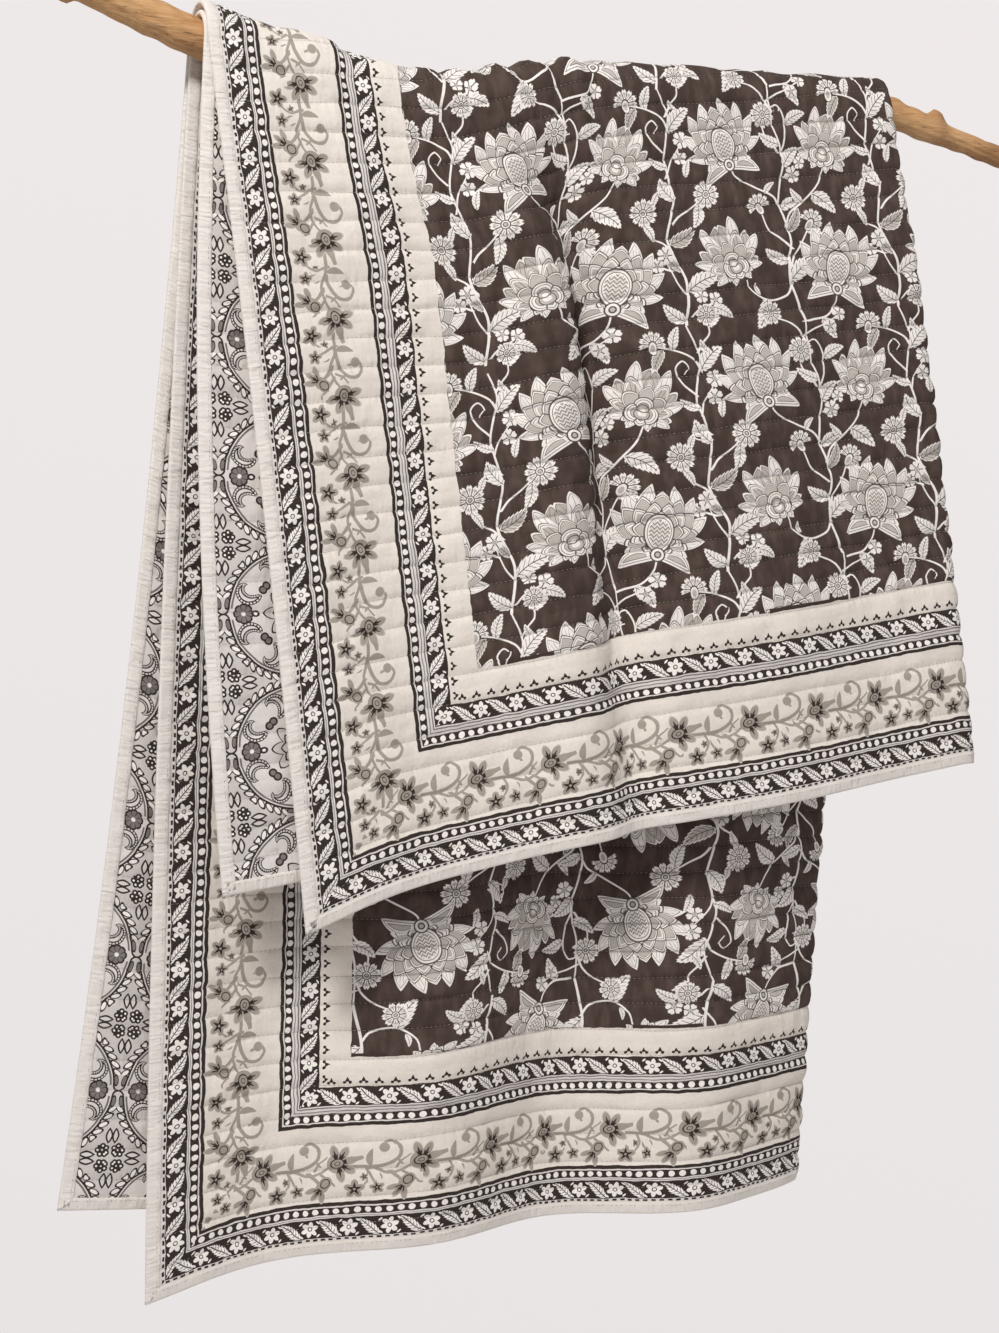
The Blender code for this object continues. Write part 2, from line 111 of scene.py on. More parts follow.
# soft folds: side, distance from the fold line at the top and at the hem, steepest slope in
# degrees (a ridge is positive), half width, where it starts and is full, share left at the hem
softFolds = (
    ("front", 0.332, 0.312, -56, 0.019, 0.020, 0.150, 0.42),
    ("front", 0.384, 0.366, 26, 0.024, 0.015, 0.120, 0.50),
    ("front", 0.200, 0.170, 7, 0.060, 0.050, 0.300, 1.00),
    ("front", 0.520, 0.490, -8, 0.050, 0.060, 0.300, 0.90),
    ("back", 0.130, 0.125, -17, 0.040, 0.100, 0.500, 1.00),
    ("back", 0.260, 0.250, 17, 0.045, 0.100, 0.500, 1.00),
    ("back", 0.385, 0.385, -15, 0.045, 0.100, 0.500, 1.00),
    ("back", 0.505, 0.520, 11, 0.045, 0.100, 0.500, 1.00),
)
dropSize = {"front": 0.62, "back": 0.94}


def smoothCurve(xs, ys, x):
    xs, ys = np.asarray(xs, float), np.asarray(ys, float)
    slope = np.gradient(ys, xs)
    x = np.clip(x, xs[0], xs[-1])
    k = np.clip(np.searchsorted(xs, x) - 1, 0, len(xs) - 2)
    span = xs[k + 1] - xs[k]
    t = (x - xs[k]) / span
    return (
        ys[k] * (1 + 2 * t) * (1 - t) ** 2
        + ys[k + 1] * t**2 * (3 - 2 * t)
        + span * (slope[k] * t * (1 - t) ** 2 - slope[k + 1] * t**2 * (1 - t))
    )


def ease(t):
    t = np.clip(t, 0, 1)
    return t * t * (3 - 2 * t)


def bell(x, reach):
    return np.exp(-((x / reach) ** 2))


def through(three, t):  # the curve through values at 0, a half and 1
    first, mid, last = three
    return first + t * (4 * mid - 3 * first - last) + t * t * 2 * (first - 2 * mid + last)


def branchZ(x):
    return smoothCurve(branchX, branchHeight, x)


def branchRadius(x):
    return smoothCurve(branchX, branchThick, x)


def branchRise(x):
    slope = (branchZ(x + 0.002) - branchZ(x - 0.002)) / 0.004
    return np.sqrt(1 + slope * slope)


def turnRadius(side, t):
    return throw["turnRadius"] + (throw["turnRadiusHem"][side] - throw["turnRadius"]) * t


def crestRise(x, s):  # what stands up along the top; s is the way down the cloth
    stepX, stepReach, stepFront, stepHeight = throw["step"]
    step = stepHeight * ease((stepX - x) / stepFront) * ease((x - stepX) / stepReach + 1)
    middle, reach, pitch, tall = throw["gathers"]
    fan = (x - middle) * (1 + throw["gatherFan"] * s) / pitch
    far, often = throw["gatherSway"]
    wave = np.cos(2 * math.pi * fan + far * np.sin(fan * often)) * 0.5 + 0.5
    gathers = tall * wave * bell(x - middle, reach)
    humpX, humpReach, humpHeight = throw["hump"]
    hump = humpHeight * bell(x - humpX, humpReach)
    height, pace, sway = throw["lumps"]
    small = height * (1 + np.sin(x * pace + 2 * np.sin(x * sway)))
    pulled = 0
    for place, slant, reach, tall, halfWidth in throw["pulledFolds"]:
        way = (x - place - slant * s) / halfWidth
        pulled = pulled + tall * np.exp(-way * way - (s / reach) ** 2)
    held, heldReach = throw["heldDown"]
    pulled = pulled * (1 - held * bell(s, heldReach))
    stepFade, gatherFade = throw["crestFade"]
    return (step + hump + small) * bell(s, stepFade) + pulled + gathers * bell(s, gatherFade)


class Drop:  # one drop's mid surface, as a table over its height and its width
    def __init__(self, side):
        self.side = side
        rows, columns, reach = throw["dropTable"]
        self.down = np.linspace(0, 1, rows)
        self.across = np.linspace(0, reach, columns)
        t, m = np.meshgrid(self.down, self.across, indexing="ij")
        self.angle = self.foldAngle(t, m)
        step = self.across[1]
        self.sideways = self.runningTotal(np.cos(self.angle)) * step
        self.outward = self.runningTotal(np.sin(self.angle)) * step
        self.outward -= self.outward[:, -1:]

    def runningTotal(self, values):
        return np.pad(np.cumsum((values[:, 1:] + values[:, :-1]) / 2, axis=1), ((0, 0), (1, 0)))

    def foldAngle(self, t, m):
        drop = dropSize[self.side]
        angle = np.zeros_like(t)
        for side, top, hem, steepest, halfWidth, start, full, left in softFolds:
            if side != self.side:
                continue
            way = (m - top - (hem - top) * t) / halfWidth
            grown = ease((t * drop - start) / (full - start))
            kept = 1 - (1 - left) * ease((t * drop - full) / (drop - full))
            angle -= math.radians(steepest) * grown * kept * way * np.exp((1 - way * way) / 2)
        if self.side == "back":
            angle -= math.radians(throw["curlAngle"]) * t**1.3 * bell(m, throw["curlReach"])
        return angle

    def read(self, table, t, m):
        row = np.clip(t, 0, 1) * (len(self.down) - 1)
        col = np.clip(m / self.across[1], 0, len(self.across) - 1)
        i = np.minimum(row.astype(int), len(self.down) - 2)
        j = np.minimum(col.astype(int), len(self.across) - 2)
        row, col = row - i, col - j
        near = table[i, j] * (1 - col) + table[i, j + 1] * col
        far = table[i + 1, j] * (1 - col) + table[i + 1, j + 1] * col
        return near * (1 - row) + far * row

    def freeEdge(self, layer, t):
        wide = through(foldEdge[self.side], self.down) - turnRadius(self.side, self.down)
        wide = wide - through(edgeLines[layer, self.side], self.down)
        ends = [np.interp(w, row, self.across) for w, row in zip(wide, self.sideways)]
        return np.interp(t, self.down, ends)


drops = {side: Drop(side) for side in ("front", "back")}


def crestX(layer, across):
    start = foldEdge["front"][0] - throw["turnRadius"]
    return start + (edgeLines[layer, "front"][0] - start) * across


def crestRadius(x, offset):
    return branchRadius(x) + throw["clothGap"] + throw["pressedHalf"] + throw["spacing"] + offset


def dropLength(layer, side, across):
    x = crestX(layer, across)
    radius = crestRadius(x, layer * throw["spacing"])
    hem = smoothCurve(*hemLines[layer, side], across)
    over = (math.pi / 2 - throw["lean"]) * radius
    hang = (branchZ(x) + radius * math.sin(throw["lean"]) - hem) / math.cos(throw["lean"])
    return over, hang


def clothPlace(layer, across, along):  # which drop, and how far down it
    frontOver, frontHang = dropLength(layer, "front", across)
    backOver, backHang = dropLength(layer, "back", across)
    front = frontOver + frontHang
    s = along * (front + backOver + backHang) / throw["length"] - front
    isFront = s < 0
    rest = np.clip(np.abs(s) - np.where(isFront, frontOver, backOver), 0, None)
    hang = np.where(isFront, frontHang, backHang)
    return {"front": isFront, "s": np.abs(s), "rest": rest, "t": rest / hang}


def layerWidth(layer, along):
    first, last = throw["foldLine"]
    width = first + (last - first) * along / throw["length"]
    return width if layer == outer else throw["width"] - width


def turnLength(layer, along):
    place = clothPlace(layer, np.zeros_like(along), along)
    front, back = (turnRadius(side, place["t"]) for side in drops)
    return math.pi / 2 * np.where(place["front"], front, back)


def clothPoint(layer, fromFold, along):  # world points of the mid thickness
    fromFold, along = np.broadcast_arrays(fromFold, along)
    turn = turnLength(layer, along)
    flat = fromFold - turn
    across = np.clip(flat, 0, None) / (layerWidth(layer, along) - turn)
    place = clothPlace(layer, across, along)
    points = np.zeros(along.shape + (3,))
    for side in drops:
        here = place["front"] == (side == "front")
        mine = {name: value[here] for name, value in place.items()}
        points[here] = dropPoint(layer, side, fromFold[here], flat[here], across[here], mine)
    return points


def dropPoint(layer, side, fromFold, flat, across, place):
    drop, t = drops[side], place["t"]
    radius = turnRadius(side, t)
    m = across * drop.freeEdge(layer, t)
    angle = drop.read(drop.angle, t, m)
    spacing = throw["spacingHem"][side] - throw["spacing"]
    spacing = throw["spacing"] + spacing * ease(t / throw["spacingGrown"])
    splay = bell(np.clip(flat, 0, None), throw["turnReach"])
    turned = np.clip(fromFold / radius, 0, math.pi / 2)
    inTurn = flat < 0
    spacing = np.where(inTurn, radius * np.sin(turned), spacing + (radius - spacing) * splay)
    backwards = np.where(inTurn, -radius * np.cos(turned), 0)
    sideways = drop.read(drop.sideways, t, m)
    sideways = sideways + backwards * np.cos(angle) - layer * spacing * np.sin(angle)
    outward = drop.read(drop.outward, t, m)
    outward = outward + backwards * np.sin(angle) + layer * spacing * np.cos(angle)

    xCrest = crestX(layer, across)
    crestTurned = np.clip(fromFold / throw["turnRadius"], 0, math.pi / 2)
    atCrest = throw["spacing"] + (throw["turnRadius"] - throw["spacing"]) * splay
    atCrest = layer * np.where(inTurn, throw["turnRadius"] * np.sin(crestTurned), atCrest)
    bend = crestRadius(xCrest, atCrest)
    turn = np.minimum(place["s"] / bend, math.pi / 2 - throw["lean"])
    beyond = outward - atCrest + crestRise(xCrest, place["s"])
    out = (bend + beyond) * np.sin(turn) + place["rest"] * math.sin(throw["lean"])
    up = (bend * branchRise(xCrest) + beyond) * np.cos(turn)
    up = up - place["rest"] * math.cos(throw["lean"])
    x = through(foldEdge[side], t) - radius - sideways
    return np.stack([x, -out if side == "front" else out, branchZ(xCrest) + up], axis=-1)


cloth = {
    "rowPlaces": (0, 0.06, 0.22, 0.5, 0.78, 0.94),  # mesh lines in one channel, right side
    "backPlaces": (0, 0.10, 0.5, 0.90),
    "columns": {  # from the free edge: start, end and number of mesh columns
        outer: (
            (0, 0.0025, 1), (0.0025, 0.165, 27), (0.165, 0.27, 18), (0.27, 0.37, 25), (0.37, 0.56, 32),
        ),
        inner: ((0, 0.0025, 1), (0.0025, 0.165, 27), (0.165, 0.56, 60)),
    },
    "foldColumns": (14, 5),  # from there to the half turn, and in it
    "wander": 0.0011,  # how far a quilting line strays from straight
    "fullness": 0.62,  # below 1 the channels rise steeply from their quilting lines
    "uneven": (0.20, 0.050),  # share and size of the thick and thin places
    "pucker": (0.00042, 0.017),  # height and size of the gathers beside a quilting line
    "pressedOver": 0.020,  # height over which the channels go flat on the branch
    "edgeHalf": 0.0012,  # half thickness at the raw edge, under the binding
    "edgeFade": 0.016,
    "rawEdge": 0.0016,
}


def wander(line, u):  # the quilting lines are sewn by hand, none quite straight
    phase = np.sin(line * 12.9898) * 43.7
    wave = np.sin(u * 21 + phase) + 0.6 * np.sin(u * 47 + phase * 1.7)
    return cloth["wander"] * 0.6 * (wave + 0.35 * np.sin(u * 113 + phase * 2.3))


def mixedWaves(u, v, size, seed):  # soft noise from a few waves, about -1 to 1
    rng = np.random.default_rng(seed)
    total = np.zeros(np.broadcast(u, v).shape)
    for _ in range(7):
        turn, phase, scale = rng.uniform(0, math.pi), rng.uniform(0, 6.3), rng.uniform(0.7, 1.5)
        total += np.sin(2 * math.pi * scale / size * (u * np.cos(turn) + v * np.sin(turn)) + phase)
    return total / 2.6


def columnsOf(layer):  # distances from the free edge
    spans = cloth["columns"][layer]
    edges = [start + (end - start) * np.arange(count) / count for start, end, count in spans]
    return np.append(np.concatenate(edges), spans[-1][1])


def clothGrid(places):  # the flat places of the mesh: rows by channel, columns round the fold
    line = np.arange(throw["rows"])[:, None] + np.array(places)[None, :]
    line = np.append(line.ravel(), throw["rows"])[:, None]
    v = line * rowPitch
    beyond, inTurn = (np.arange(count) / count for count in cloth["foldColumns"])
    halves = []
    for layer in (outer, inner):
        fromEdge = columnsOf(layer)
        width, turn = layerWidth(layer, v), turnLength(layer, v)
        near = width - turn - fromEdge[-1]
        flat = (width - fromEdge, turn + near * (1 - beyond[1:]), turn * (1 - inTurn))
        halves.append(np.concatenate(flat, axis=1))
    fromFold = np.concatenate([halves[0], 0 * v, halves[1][:, ::-1]], axis=1)
    layerOf = np.repeat([outer, inner], [halves[0].shape[1] + 1, halves[1].shape[1]])
    fromFold[:, [0, -1]] -= cloth["rawEdge"]
    u = layerWidth(outer, v) - fromFold * layerOf
    line = np.broadcast_to(line, u.shape)
    low = np.floor(line)
    stray = wander(low, u) * (1 - (line - low)) + wander(low + 1, u) * (line - low)
    v = line * rowPitch + stray * ease(np.minimum(line, throw["rows"] - line))
    lowest = cloth["rawEdge"] + 0.2 * line * rowPitch
    highest = throw["length"] - cloth["rawEdge"] - 0.2 * (throw["rows"] - line) * rowPitch
    return line, fromFold, layerOf, u, np.clip(v, lowest, highest)


def halfThickness(line, u, v, mid, side):
    channel = line - np.floor(line)
    cushion = np.abs(np.sin(math.pi * channel)) ** cloth["fullness"]
    pressed = ease(0.5 + (mid[..., 2] - branchZ(mid[..., 0])) / cloth["pressedOver"])
    crest = throw["crestHalf"] + (throw["pressedHalf"] - throw["crestHalf"]) * pressed
    share, size = cloth["uneven"]
    crest = crest * (1 + share * mixedWaves(u, v, size, 5 + side))
    tall, size = cloth["pucker"]
    gathers = mixedWaves(u, v * 0.25, size, 11 + side) * tall
    gathers = gathers * (1 - pressed) * np.sin(math.pi * channel) ** 0.5
    half = throw["stitchHalf"] + (crest - throw["stitchHalf"]) * cushion + gathers
    fromEdge = np.minimum(np.minimum(u, throw["width"] - u), np.minimum(v, throw["length"] - v))
    free = 0.25 + 0.75 * ease((fromEdge - 0.002) / cloth["edgeFade"])
    return cloth["edgeHalf"] + (half - cloth["edgeHalf"]) * free * ease(fromEdge / 0.003)


def clothSurface(places, side):  # side is 1 for the right side of the cloth, -1 for the wrong side
    line, fromFold, layerOf, u, v = clothGrid(places)
    mid = np.zeros(u.shape + (3,))
    for layer in (outer, inner):
        here = layerOf == layer
        mid[:, here] = clothPoint(layer, fromFold[:, here], v[:, here])
    normal = np.cross(np.gradient(mid, axis=1), np.gradient(mid, axis=0))
    normal = normal / np.linalg.norm(normal, axis=2, keepdims=True)
    half = halfThickness(line, u, v, mid, side)
    seam = 0.5 - np.abs(line - np.floor(line) - 0.5)  # how far from a quilting line, in channels
    points = mid + normal * (half * side)[..., None]
    return {"points": points, "u": u, "v": v, "normal": normal * side, "seam": seam}


def addObject(name, data):
    obj = bpy.data.objects.new(name, data)
    bpy.context.scene.collection.objects.link(obj)
    return obj


def meshFrom(name, points, quads):
    mesh = bpy.data.meshes.new(name)
    mesh.vertices.add(points.size // 3)
    mesh.vertices.foreach_set("co", points.astype(np.float32).ravel())
    mesh.loops.add(quads.size)
    mesh.loops.foreach_set("vertex_index", quads.astype(np.int32).ravel())
    mesh.polygons.add(len(quads))
    mesh.polygons.foreach_set("loop_start", np.arange(0, quads.size, 4, dtype=np.int32))
    mesh.polygons.foreach_set("use_smooth", np.full(len(quads), True))
    mesh.update()
    mesh.validate()
    return addObject(name, mesh)


def gridQuads(shape, side=1, closedRows=False, closedColumns=False):
    index = np.arange(shape[0] * shape[1]).reshape(shape[:2])
    if closedRows:
        index = np.concatenate([index, index[:1]])
    if closedColumns:
        index = np.concatenate([index, index[:, :1]], axis=1)
    a, b, c, d = index[:-1, :-1], index[:-1, 1:], index[1:, 1:], index[1:, :-1]
    order = (a, b, c, d) if side == 1 else (d, c, b, a)
    return np.stack(order, axis=-1).reshape(-1, 4)


def setFlat(obj, flat, quads):  # the flat place of every corner, for the prints
    corners = np.stack(np.broadcast_arrays(*flat), axis=-1).reshape(-1, 2)[quads]
    layer = obj.data.uv_layers.new(name="flat")
    layer.data.foreach_set("uv", corners.astype(np.float32).ravel())
    return corners


def setValues(mesh, name, kind, values):  # kind is the attribute's type, where it sits, its field
    layer = mesh.attributes.new(name, *kind[:2])
    layer.data.foreach_set(kind[2], values.astype(np.float32).ravel())


def addCloth(name, surface, side):
    quads = gridQuads(surface["u"].shape, side)
    obj = meshFrom(name, surface["points"], quads)
    corners = setFlat(obj, (surface["u"], surface["v"]), quads)
    setValues(obj.data, "seam", ("FLOAT", "POINT", "value"), surface["seam"])
    return obj, corners


topSurface = clothSurface(cloth["rowPlaces"], 1)
printedTop, topCorners = addCloth("printedTop", topSurface, 1)
backSurface = clothSurface(cloth["backPlaces"], -1)
printedBacking, _ = addCloth("printedBacking", backSurface, -1)
print("cloth", len(printedTop.data.polygons) * 2, len(printedBacking.data.polygons) * 2)

binding = {
    "width": 0.0098,
    "step": 0.0030,  # between the stations round the edge
    "height": 0.0010,  # of the folded strip above the cloth
    "edgeRadius": 0.0026,
    "ripple": (0.00028, 0.0085, 0.02),  # height, and the sizes of its two waves
    "run": (  # inset as a share of the width, height above the cloth, share of the ripple
        (0.94, 0.00, 0), (0.985, 0.35, 0), (0.95, 0.80, 0),
        (0.72, 1.0, 0.5), (0.42, 1.0, 1), (0.16, 0.92, 0.6),
    ),
    "rim": ((0.02, 0.80), (-0.05, 0.38)),  # the same, as a share of the edge's radius
    "under": (0.9, 0.1),  # inside the fold, just under the cloth's surface
    "sunk": 0.0001,
}


def onCloth(u, v):  # mid points and normals at any flat place
    def place(u, v):
        fold = layerWidth(outer, v)
        front = clothPoint(outer, np.maximum(fold - u, 0), v)
        return np.where((u <= fold)[..., None], front, clothPoint(inner, np.maximum(u - fold, 0), v))

    step = 0.0006
    across = place(u + step, v) - place(u - step, v)
    down = place(u, v + step) - place(u, v - step)
    normal = np.cross(across, down)
    return place(u, v), normal / np.linalg.norm(normal, axis=-1, keepdims=True)


def edgeStations():  # flat places round the edge and the way inwards from each
    size = width, length = throw["width"], throw["length"]
    across, down = (np.linspace(0, s, round(s / binding["step"]))[1:-1] for s in size)
    sides = (
        ([0], 0, 1, 1), (0, down, 1, 0),
        ([0], length, 1, -1), (across, length, 0, -1),
        ([width], length, -1, -1), (width, down[::-1], -1, 0),
        ([width], 0, -1, 1), (across[::-1], 0, 0, 1),
    )
    return np.concatenate([np.stack(np.broadcast_arrays(*side), axis=1) for side in sides]).T


def edgeLine(side, inset):  # mid points, normals and half thickness along a line by the edge
    u, v, du, dv = edgeStations()
    u, v = u + du * (inset * binding["width"]), v + dv * (inset * binding["width"])
    mid, normal = onCloth(u, v)
    return mid, normal, halfThickness(v / rowPitch, u, v, mid, side)


def addBinding():
    u, v, _, _ = edgeStations()
    around = np.concatenate([[0], np.cumsum(np.hypot(np.diff(u), np.diff(v)))])
    tall, even, odd = binding["ripple"]
    ripple = tall * np.sin(2 * math.pi * around / even) + tall * mixedWaves(around, 0 * around, odd, 21)
    columns = []
    for side in (1, -1):
        strip = []
        for inset, rise, share in binding["run"]:
            mid, normal, half = edgeLine(side, inset)
            height = half + binding["height"] * rise + ripple * share
            strip.append(mid + normal * (side * height)[:, None])
        for inset, share in binding["rim"]:
            mid, normal, _ = edgeLine(side, inset)
            strip.append(mid + normal * (side * share * binding["edgeRadius"]))
        columns += strip[::side]
    for side in (-1, 1):
        for inset in binding["under"][:: -side]:
            mid, normal, half = edgeLine(side, inset)
            columns.append(mid + normal * (side * (half - binding["sunk"]))[:, None])
    points = np.stack(columns, axis=1)
    quads = gridQuads(points.shape, 1, closedRows=True, closedColumns=True)
    obj = meshFrom("boundEdge", points, quads)
    inset = [w for w, *_ in binding["run"] + binding["rim"]]
    inset = np.array(inset + inset[::-1] + [*binding["under"], *binding["under"][::-1]])
    setFlat(obj, (around[:, None], inset * binding["width"]), quads)
    return obj


boundEdge = addBinding()
print("binding", len(boundEdge.data.polygons) * 2)

wood = {
    "sides": 64,
    "step": 0.0026,
    "grain": (0.00022, 11),  # relief of the lengthwise grain, and its number of ridges
    "lumps": (0.0006, 0.0004),  # of the girth, and finer ones
    "rimWidth": 0.0010,  # worn rim of the sawn ends
    "rimDepth": 0.0005,
    "sawn": 0.0011,  # length of the pale wood at either end
    "knots": (  # x, degrees from the top towards the back, height, length, spread
        (-0.437, 172, 0.0048, 0.008, 36), (-0.386, 300, 0.0012, 0.012, 30),
        (0.297, -6, 0.0030, 0.010, 40), (0.345, 4, 0.0068, 0.0078, 27), (0.420, 250, 0.0018, 0.012, 40),
    ),
}


def knotHeight(x, around):
    height = np.zeros(np.broadcast(x, around).shape)
    for knotX, knotAround, tall, length, spread in wood["knots"]:
        turn = (around - knotAround + 180) % 360 - 180
        reach = np.sqrt(((x - knotX) / length) ** 2 + (turn / spread) ** 2)
        height += tall * np.minimum(1.4 * np.exp(-(reach**2.6)), 1)
    return height


def addBranch():
    sides = wood["sides"]
    first, last = branchX[[0, -1]]
    x = np.linspace(first, last, round((last - first) / wood["step"]) + 1)[:, None]
    around = (np.arange(sides) * 360 / sides)[None, :]
    turn = np.radians(around)
    radius = branchRadius(x) + knotHeight(x, around)
    girth = np.cos(turn * 2 + 3 * x) + np.cos(turn * 3 - 9 * x + 1)
    radius = radius + wood["lumps"][0] * girth * 0.5
    relief, ridges = wood["grain"]
    radius = radius + relief * np.cos(turn * ridges + 6 * np.sin(14 * x))
    radius = radius + wood["lumps"][1] * mixedWaves(x, around * 0.0002, 0.03, 31)
    up = branchZ(x) + radius * np.cos(turn) * branchRise(x)
    points = np.stack(np.broadcast_arrays(x, radius * np.sin(turn), up), axis=-1)
    obj = meshFrom("peeledBranch", points, gridQuads(points.shape, -1, closedColumns=True))
    form = bmesh.new()
    form.from_mesh(obj.data)
    form.verts.ensure_lookup_table()
    depth, caps = wood["rimDepth"], []
    for start, back in ((0, depth), (points.size // 3 - sides, -depth)):  # sawn ends
        loop = [form.verts[start + k] for k in range(sides)]
        bmesh.ops.translate(form, verts=loop, vec=(back, 0, 0))
        caps.append(form.faces.new(loop))
        caps[-1].smooth = False
    bmesh.ops.recalc_face_normals(form, faces=form.faces[:])
    bmesh.ops.inset_region(form, faces=caps, thickness=wood["rimWidth"], depth=depth)
    form.to_mesh(obj.data)
    form.free()
    return obj


peeledBranch = addBranch()
print("branch", len(peeledBranch.data.polygons) * 2)


def dye(red, green, blue):  # a colour as mixed for print, in linear light
    share = [c / 255 for c in (red, green, blue)]
    return tuple(c / 12.92 if c < 0.04045 else ((c + 0.055) / 1.055) ** 2.4 for c in share) + (1.0,)


dyes = {
    "ground": dye(72, 58, 51),
    "faded": dye(97, 80, 73),
    "white": dye(248, 240, 233),
    "beige": dye(200, 191, 182),
    "line": dye(88, 78, 72),
    "cream": dye(238, 228, 217),
    "taupe": dye(170, 160, 148),
    "tint": dye(201, 192, 182),
    "ink": dye(57, 47, 42),
    "pale": dye(228, 220, 214),
    "grey": dye(130, 122, 117),
    "silver": dye(214, 206, 200),
    "clear": (0, 0, 0, 0),
}


def operator(operation, reflected=False):
    def act(wire, other):
        values = (other, wire) if reflected else (wire, other)
        return wire.node("ShaderNodeMath", {"operation": operation}, dict(enumerate(values)))

    return act


class Wire:  # one socket of a node tree, whose operators add Math nodes
    def __init__(self, tree, socket=None):
        self.tree, self.socket = tree, socket

    def node(self, kind, settings=None, values=None, output=0):
        made = self.tree.nodes.new(kind)
        for name, value in (settings or {}).items():
            if name == "stops":
                self.setStops(made.color_ramp, *value)
            else:
                setattr(made, name, value)
        self.connect(made, values or {})
        self.made = made
        return Wire(self.tree, made.outputs[output])

    def connect(self, made, values):
        for name, value in values.items():
            if isinstance(value, Wire):
                self.tree.links.new(value.socket, made.inputs[name])
            else:
                made.inputs[name].default_value = value

    def setStops(self, ramp, interpolation, stops):
        ramp.interpolation = interpolation
        while len(ramp.elements) < len(stops):
            ramp.elements.new(1)
        for element, (place, colour) in zip(ramp.elements, stops):
            element.position = place
            element.color = colour

    def maths(self, operation, *others):
        return self.node("ShaderNodeMath", {"operation": operation}, dict(enumerate((self, *others))))

    def __abs__(self):
        return self.maths("ABSOLUTE")

    __add__ = __radd__ = operator("ADD")
    __mul__ = __rmul__ = operator("MULTIPLY")
    __sub__, __rsub__ = operator("SUBTRACT"), operator("SUBTRACT", True)
    __truediv__, __rtruediv__ = operator("DIVIDE"), operator("DIVIDE", True)
    __pow__ = operator("POWER")
    __gt__, __lt__ = operator("GREATER_THAN"), operator("LESS_THAN")
    __or__, __and__ = operator("MAXIMUM"), operator("MINIMUM")  # either mask, both masks

    def scaled(self, factor, shift):  # factor and shift in one node
        return self.maths("MULTIPLY_ADD", factor, shift)

    def wave(self, size, shift=0):  # a zigzag from 0 up to 1 and back over two sizes
        return self.scaled(1 / size, shift / size).maths("PINGPONG", 1)

    def within(self, size, shift=0):  # place inside a repeat, from -size/2 to size/2
        return (self + (size / 2 + shift)).maths("FLOORED_MODULO", size) - size / 2

    def split(self):
        parts = self.tree.nodes.new("ShaderNodeSeparateXYZ")
        self.tree.links.new(self.socket, parts.inputs[0])
        return [Wire(self.tree, socket) for socket in parts.outputs]


def length(x, y):
    return (x * x + y * y) ** 0.5


def bearing(x, y):  # angle from the y axis, towards x
    return x.maths("ARCTAN2", y)


def blended(colour, mask, other):
    return mask.node("ShaderNodeMix", {"data_type": "RGBA"}, {0: mask, 6: colour, 7: other}, 2)


class Ink(Wire):  # a material and the colour printed on it so far
    def __init__(self, name, colour=None):
        self.material = bpy.data.materials.new(name)
        self.material.use_nodes = True
        super().__init__(self.material.node_tree)
        self.colour = colour

    def block(self, mask, tone):  # one dye, through a mask
        self.colour = blended(self.colour, mask, dyes[tone])

    def bands(self, depth, tones, mask=None):  # dyes by depth inside an outline
        bands = [part.split() for part in tones.split(", ")]
        bands = [(float(place), dyes[tone]) for place, tone in bands]
        low = bands[0][0] - 0.02
        span = (bands[-1][0] - bands[0][0]) * 1.05 + 0.04
        stops = [(0, dyes["clear"])] + [((place - low) / span, tone) for place, tone in bands]
        place = depth.scaled(1 / span, -low / span)
        ramp = self.node("ShaderNodeValToRGB", {"stops": ("CONSTANT", stops)}, {0: place})
        alpha = Wire(self.tree, self.made.outputs[1])
        self.colour = blended(self.colour, alpha if mask is None else alpha * mask, ramp)

    def outline(self, depth, mask=None):
        inked = abs(depth) < reverse["line"]
        self.block(inked if mask is None else inked * mask, "ink")

    def shape(self, depth, tone):  # a filled outline
        self.block(depth > 0, tone)
        self.outline(depth)

    def noise(self, place, scale, detail=3.0, stretch=None):
        if stretch:
            place = self.node("ShaderNodeVectorMath", {"operation": "MULTIPLY"}, {0: place, 1: stretch})
        return self.node("ShaderNodeTexNoise", {}, {"Vector": place, "Scale": scale, "Detail": detail})

    def relief(self, height, distance, strength=1.0):
        values = {"Strength": strength, "Distance": distance, "Height": height}
        return self.node("ShaderNodeBump", {}, values)

    def flatPlace(self):
        return self.node("ShaderNodeUVMap", {"uv_map": "flat"})

    def objectPlace(self):
        return self.node("ShaderNodeTexCoord", output=3)

    def spot(self, name):
        return self.node("ShaderNodeAttribute", {"attribute_name": name}, output=1).split()

    def finish(self, values):  # the shader's own sockets
        self.connect(self.tree.nodes["Principled BSDF"], values)
        return self.material


sewing = {
    "size": {"Pitch": 0.0039, "Length": 0.0034, "Width": 0.00042, "Height": 0.00034, "Seed": 4},
    "ends": 0.0112,  # from the free edge to the first stitch
    "lift": 0.00012,
    "edgePlace": (0.72, 0.98),  # inset and height of the binding's stitches, as shares of its own
}


def addPaths(name, paths):  # each path is its points and its outward ways
    points, outward = (np.concatenate(values) for values in zip(*paths))
    starts = np.cumsum([0] + [len(p) for p, _ in paths])
    edges = [(k, k + 1) for a, b in zip(starts, starts[1:]) for k in range(a, b - 1)]
    mesh = bpy.data.meshes.new(name)
    mesh.from_pydata(points.tolist(), edges, [])
    setValues(mesh, "outward", ("FLOAT_VECTOR", "POINT", "vector"), outward)
    return addObject(name, mesh)


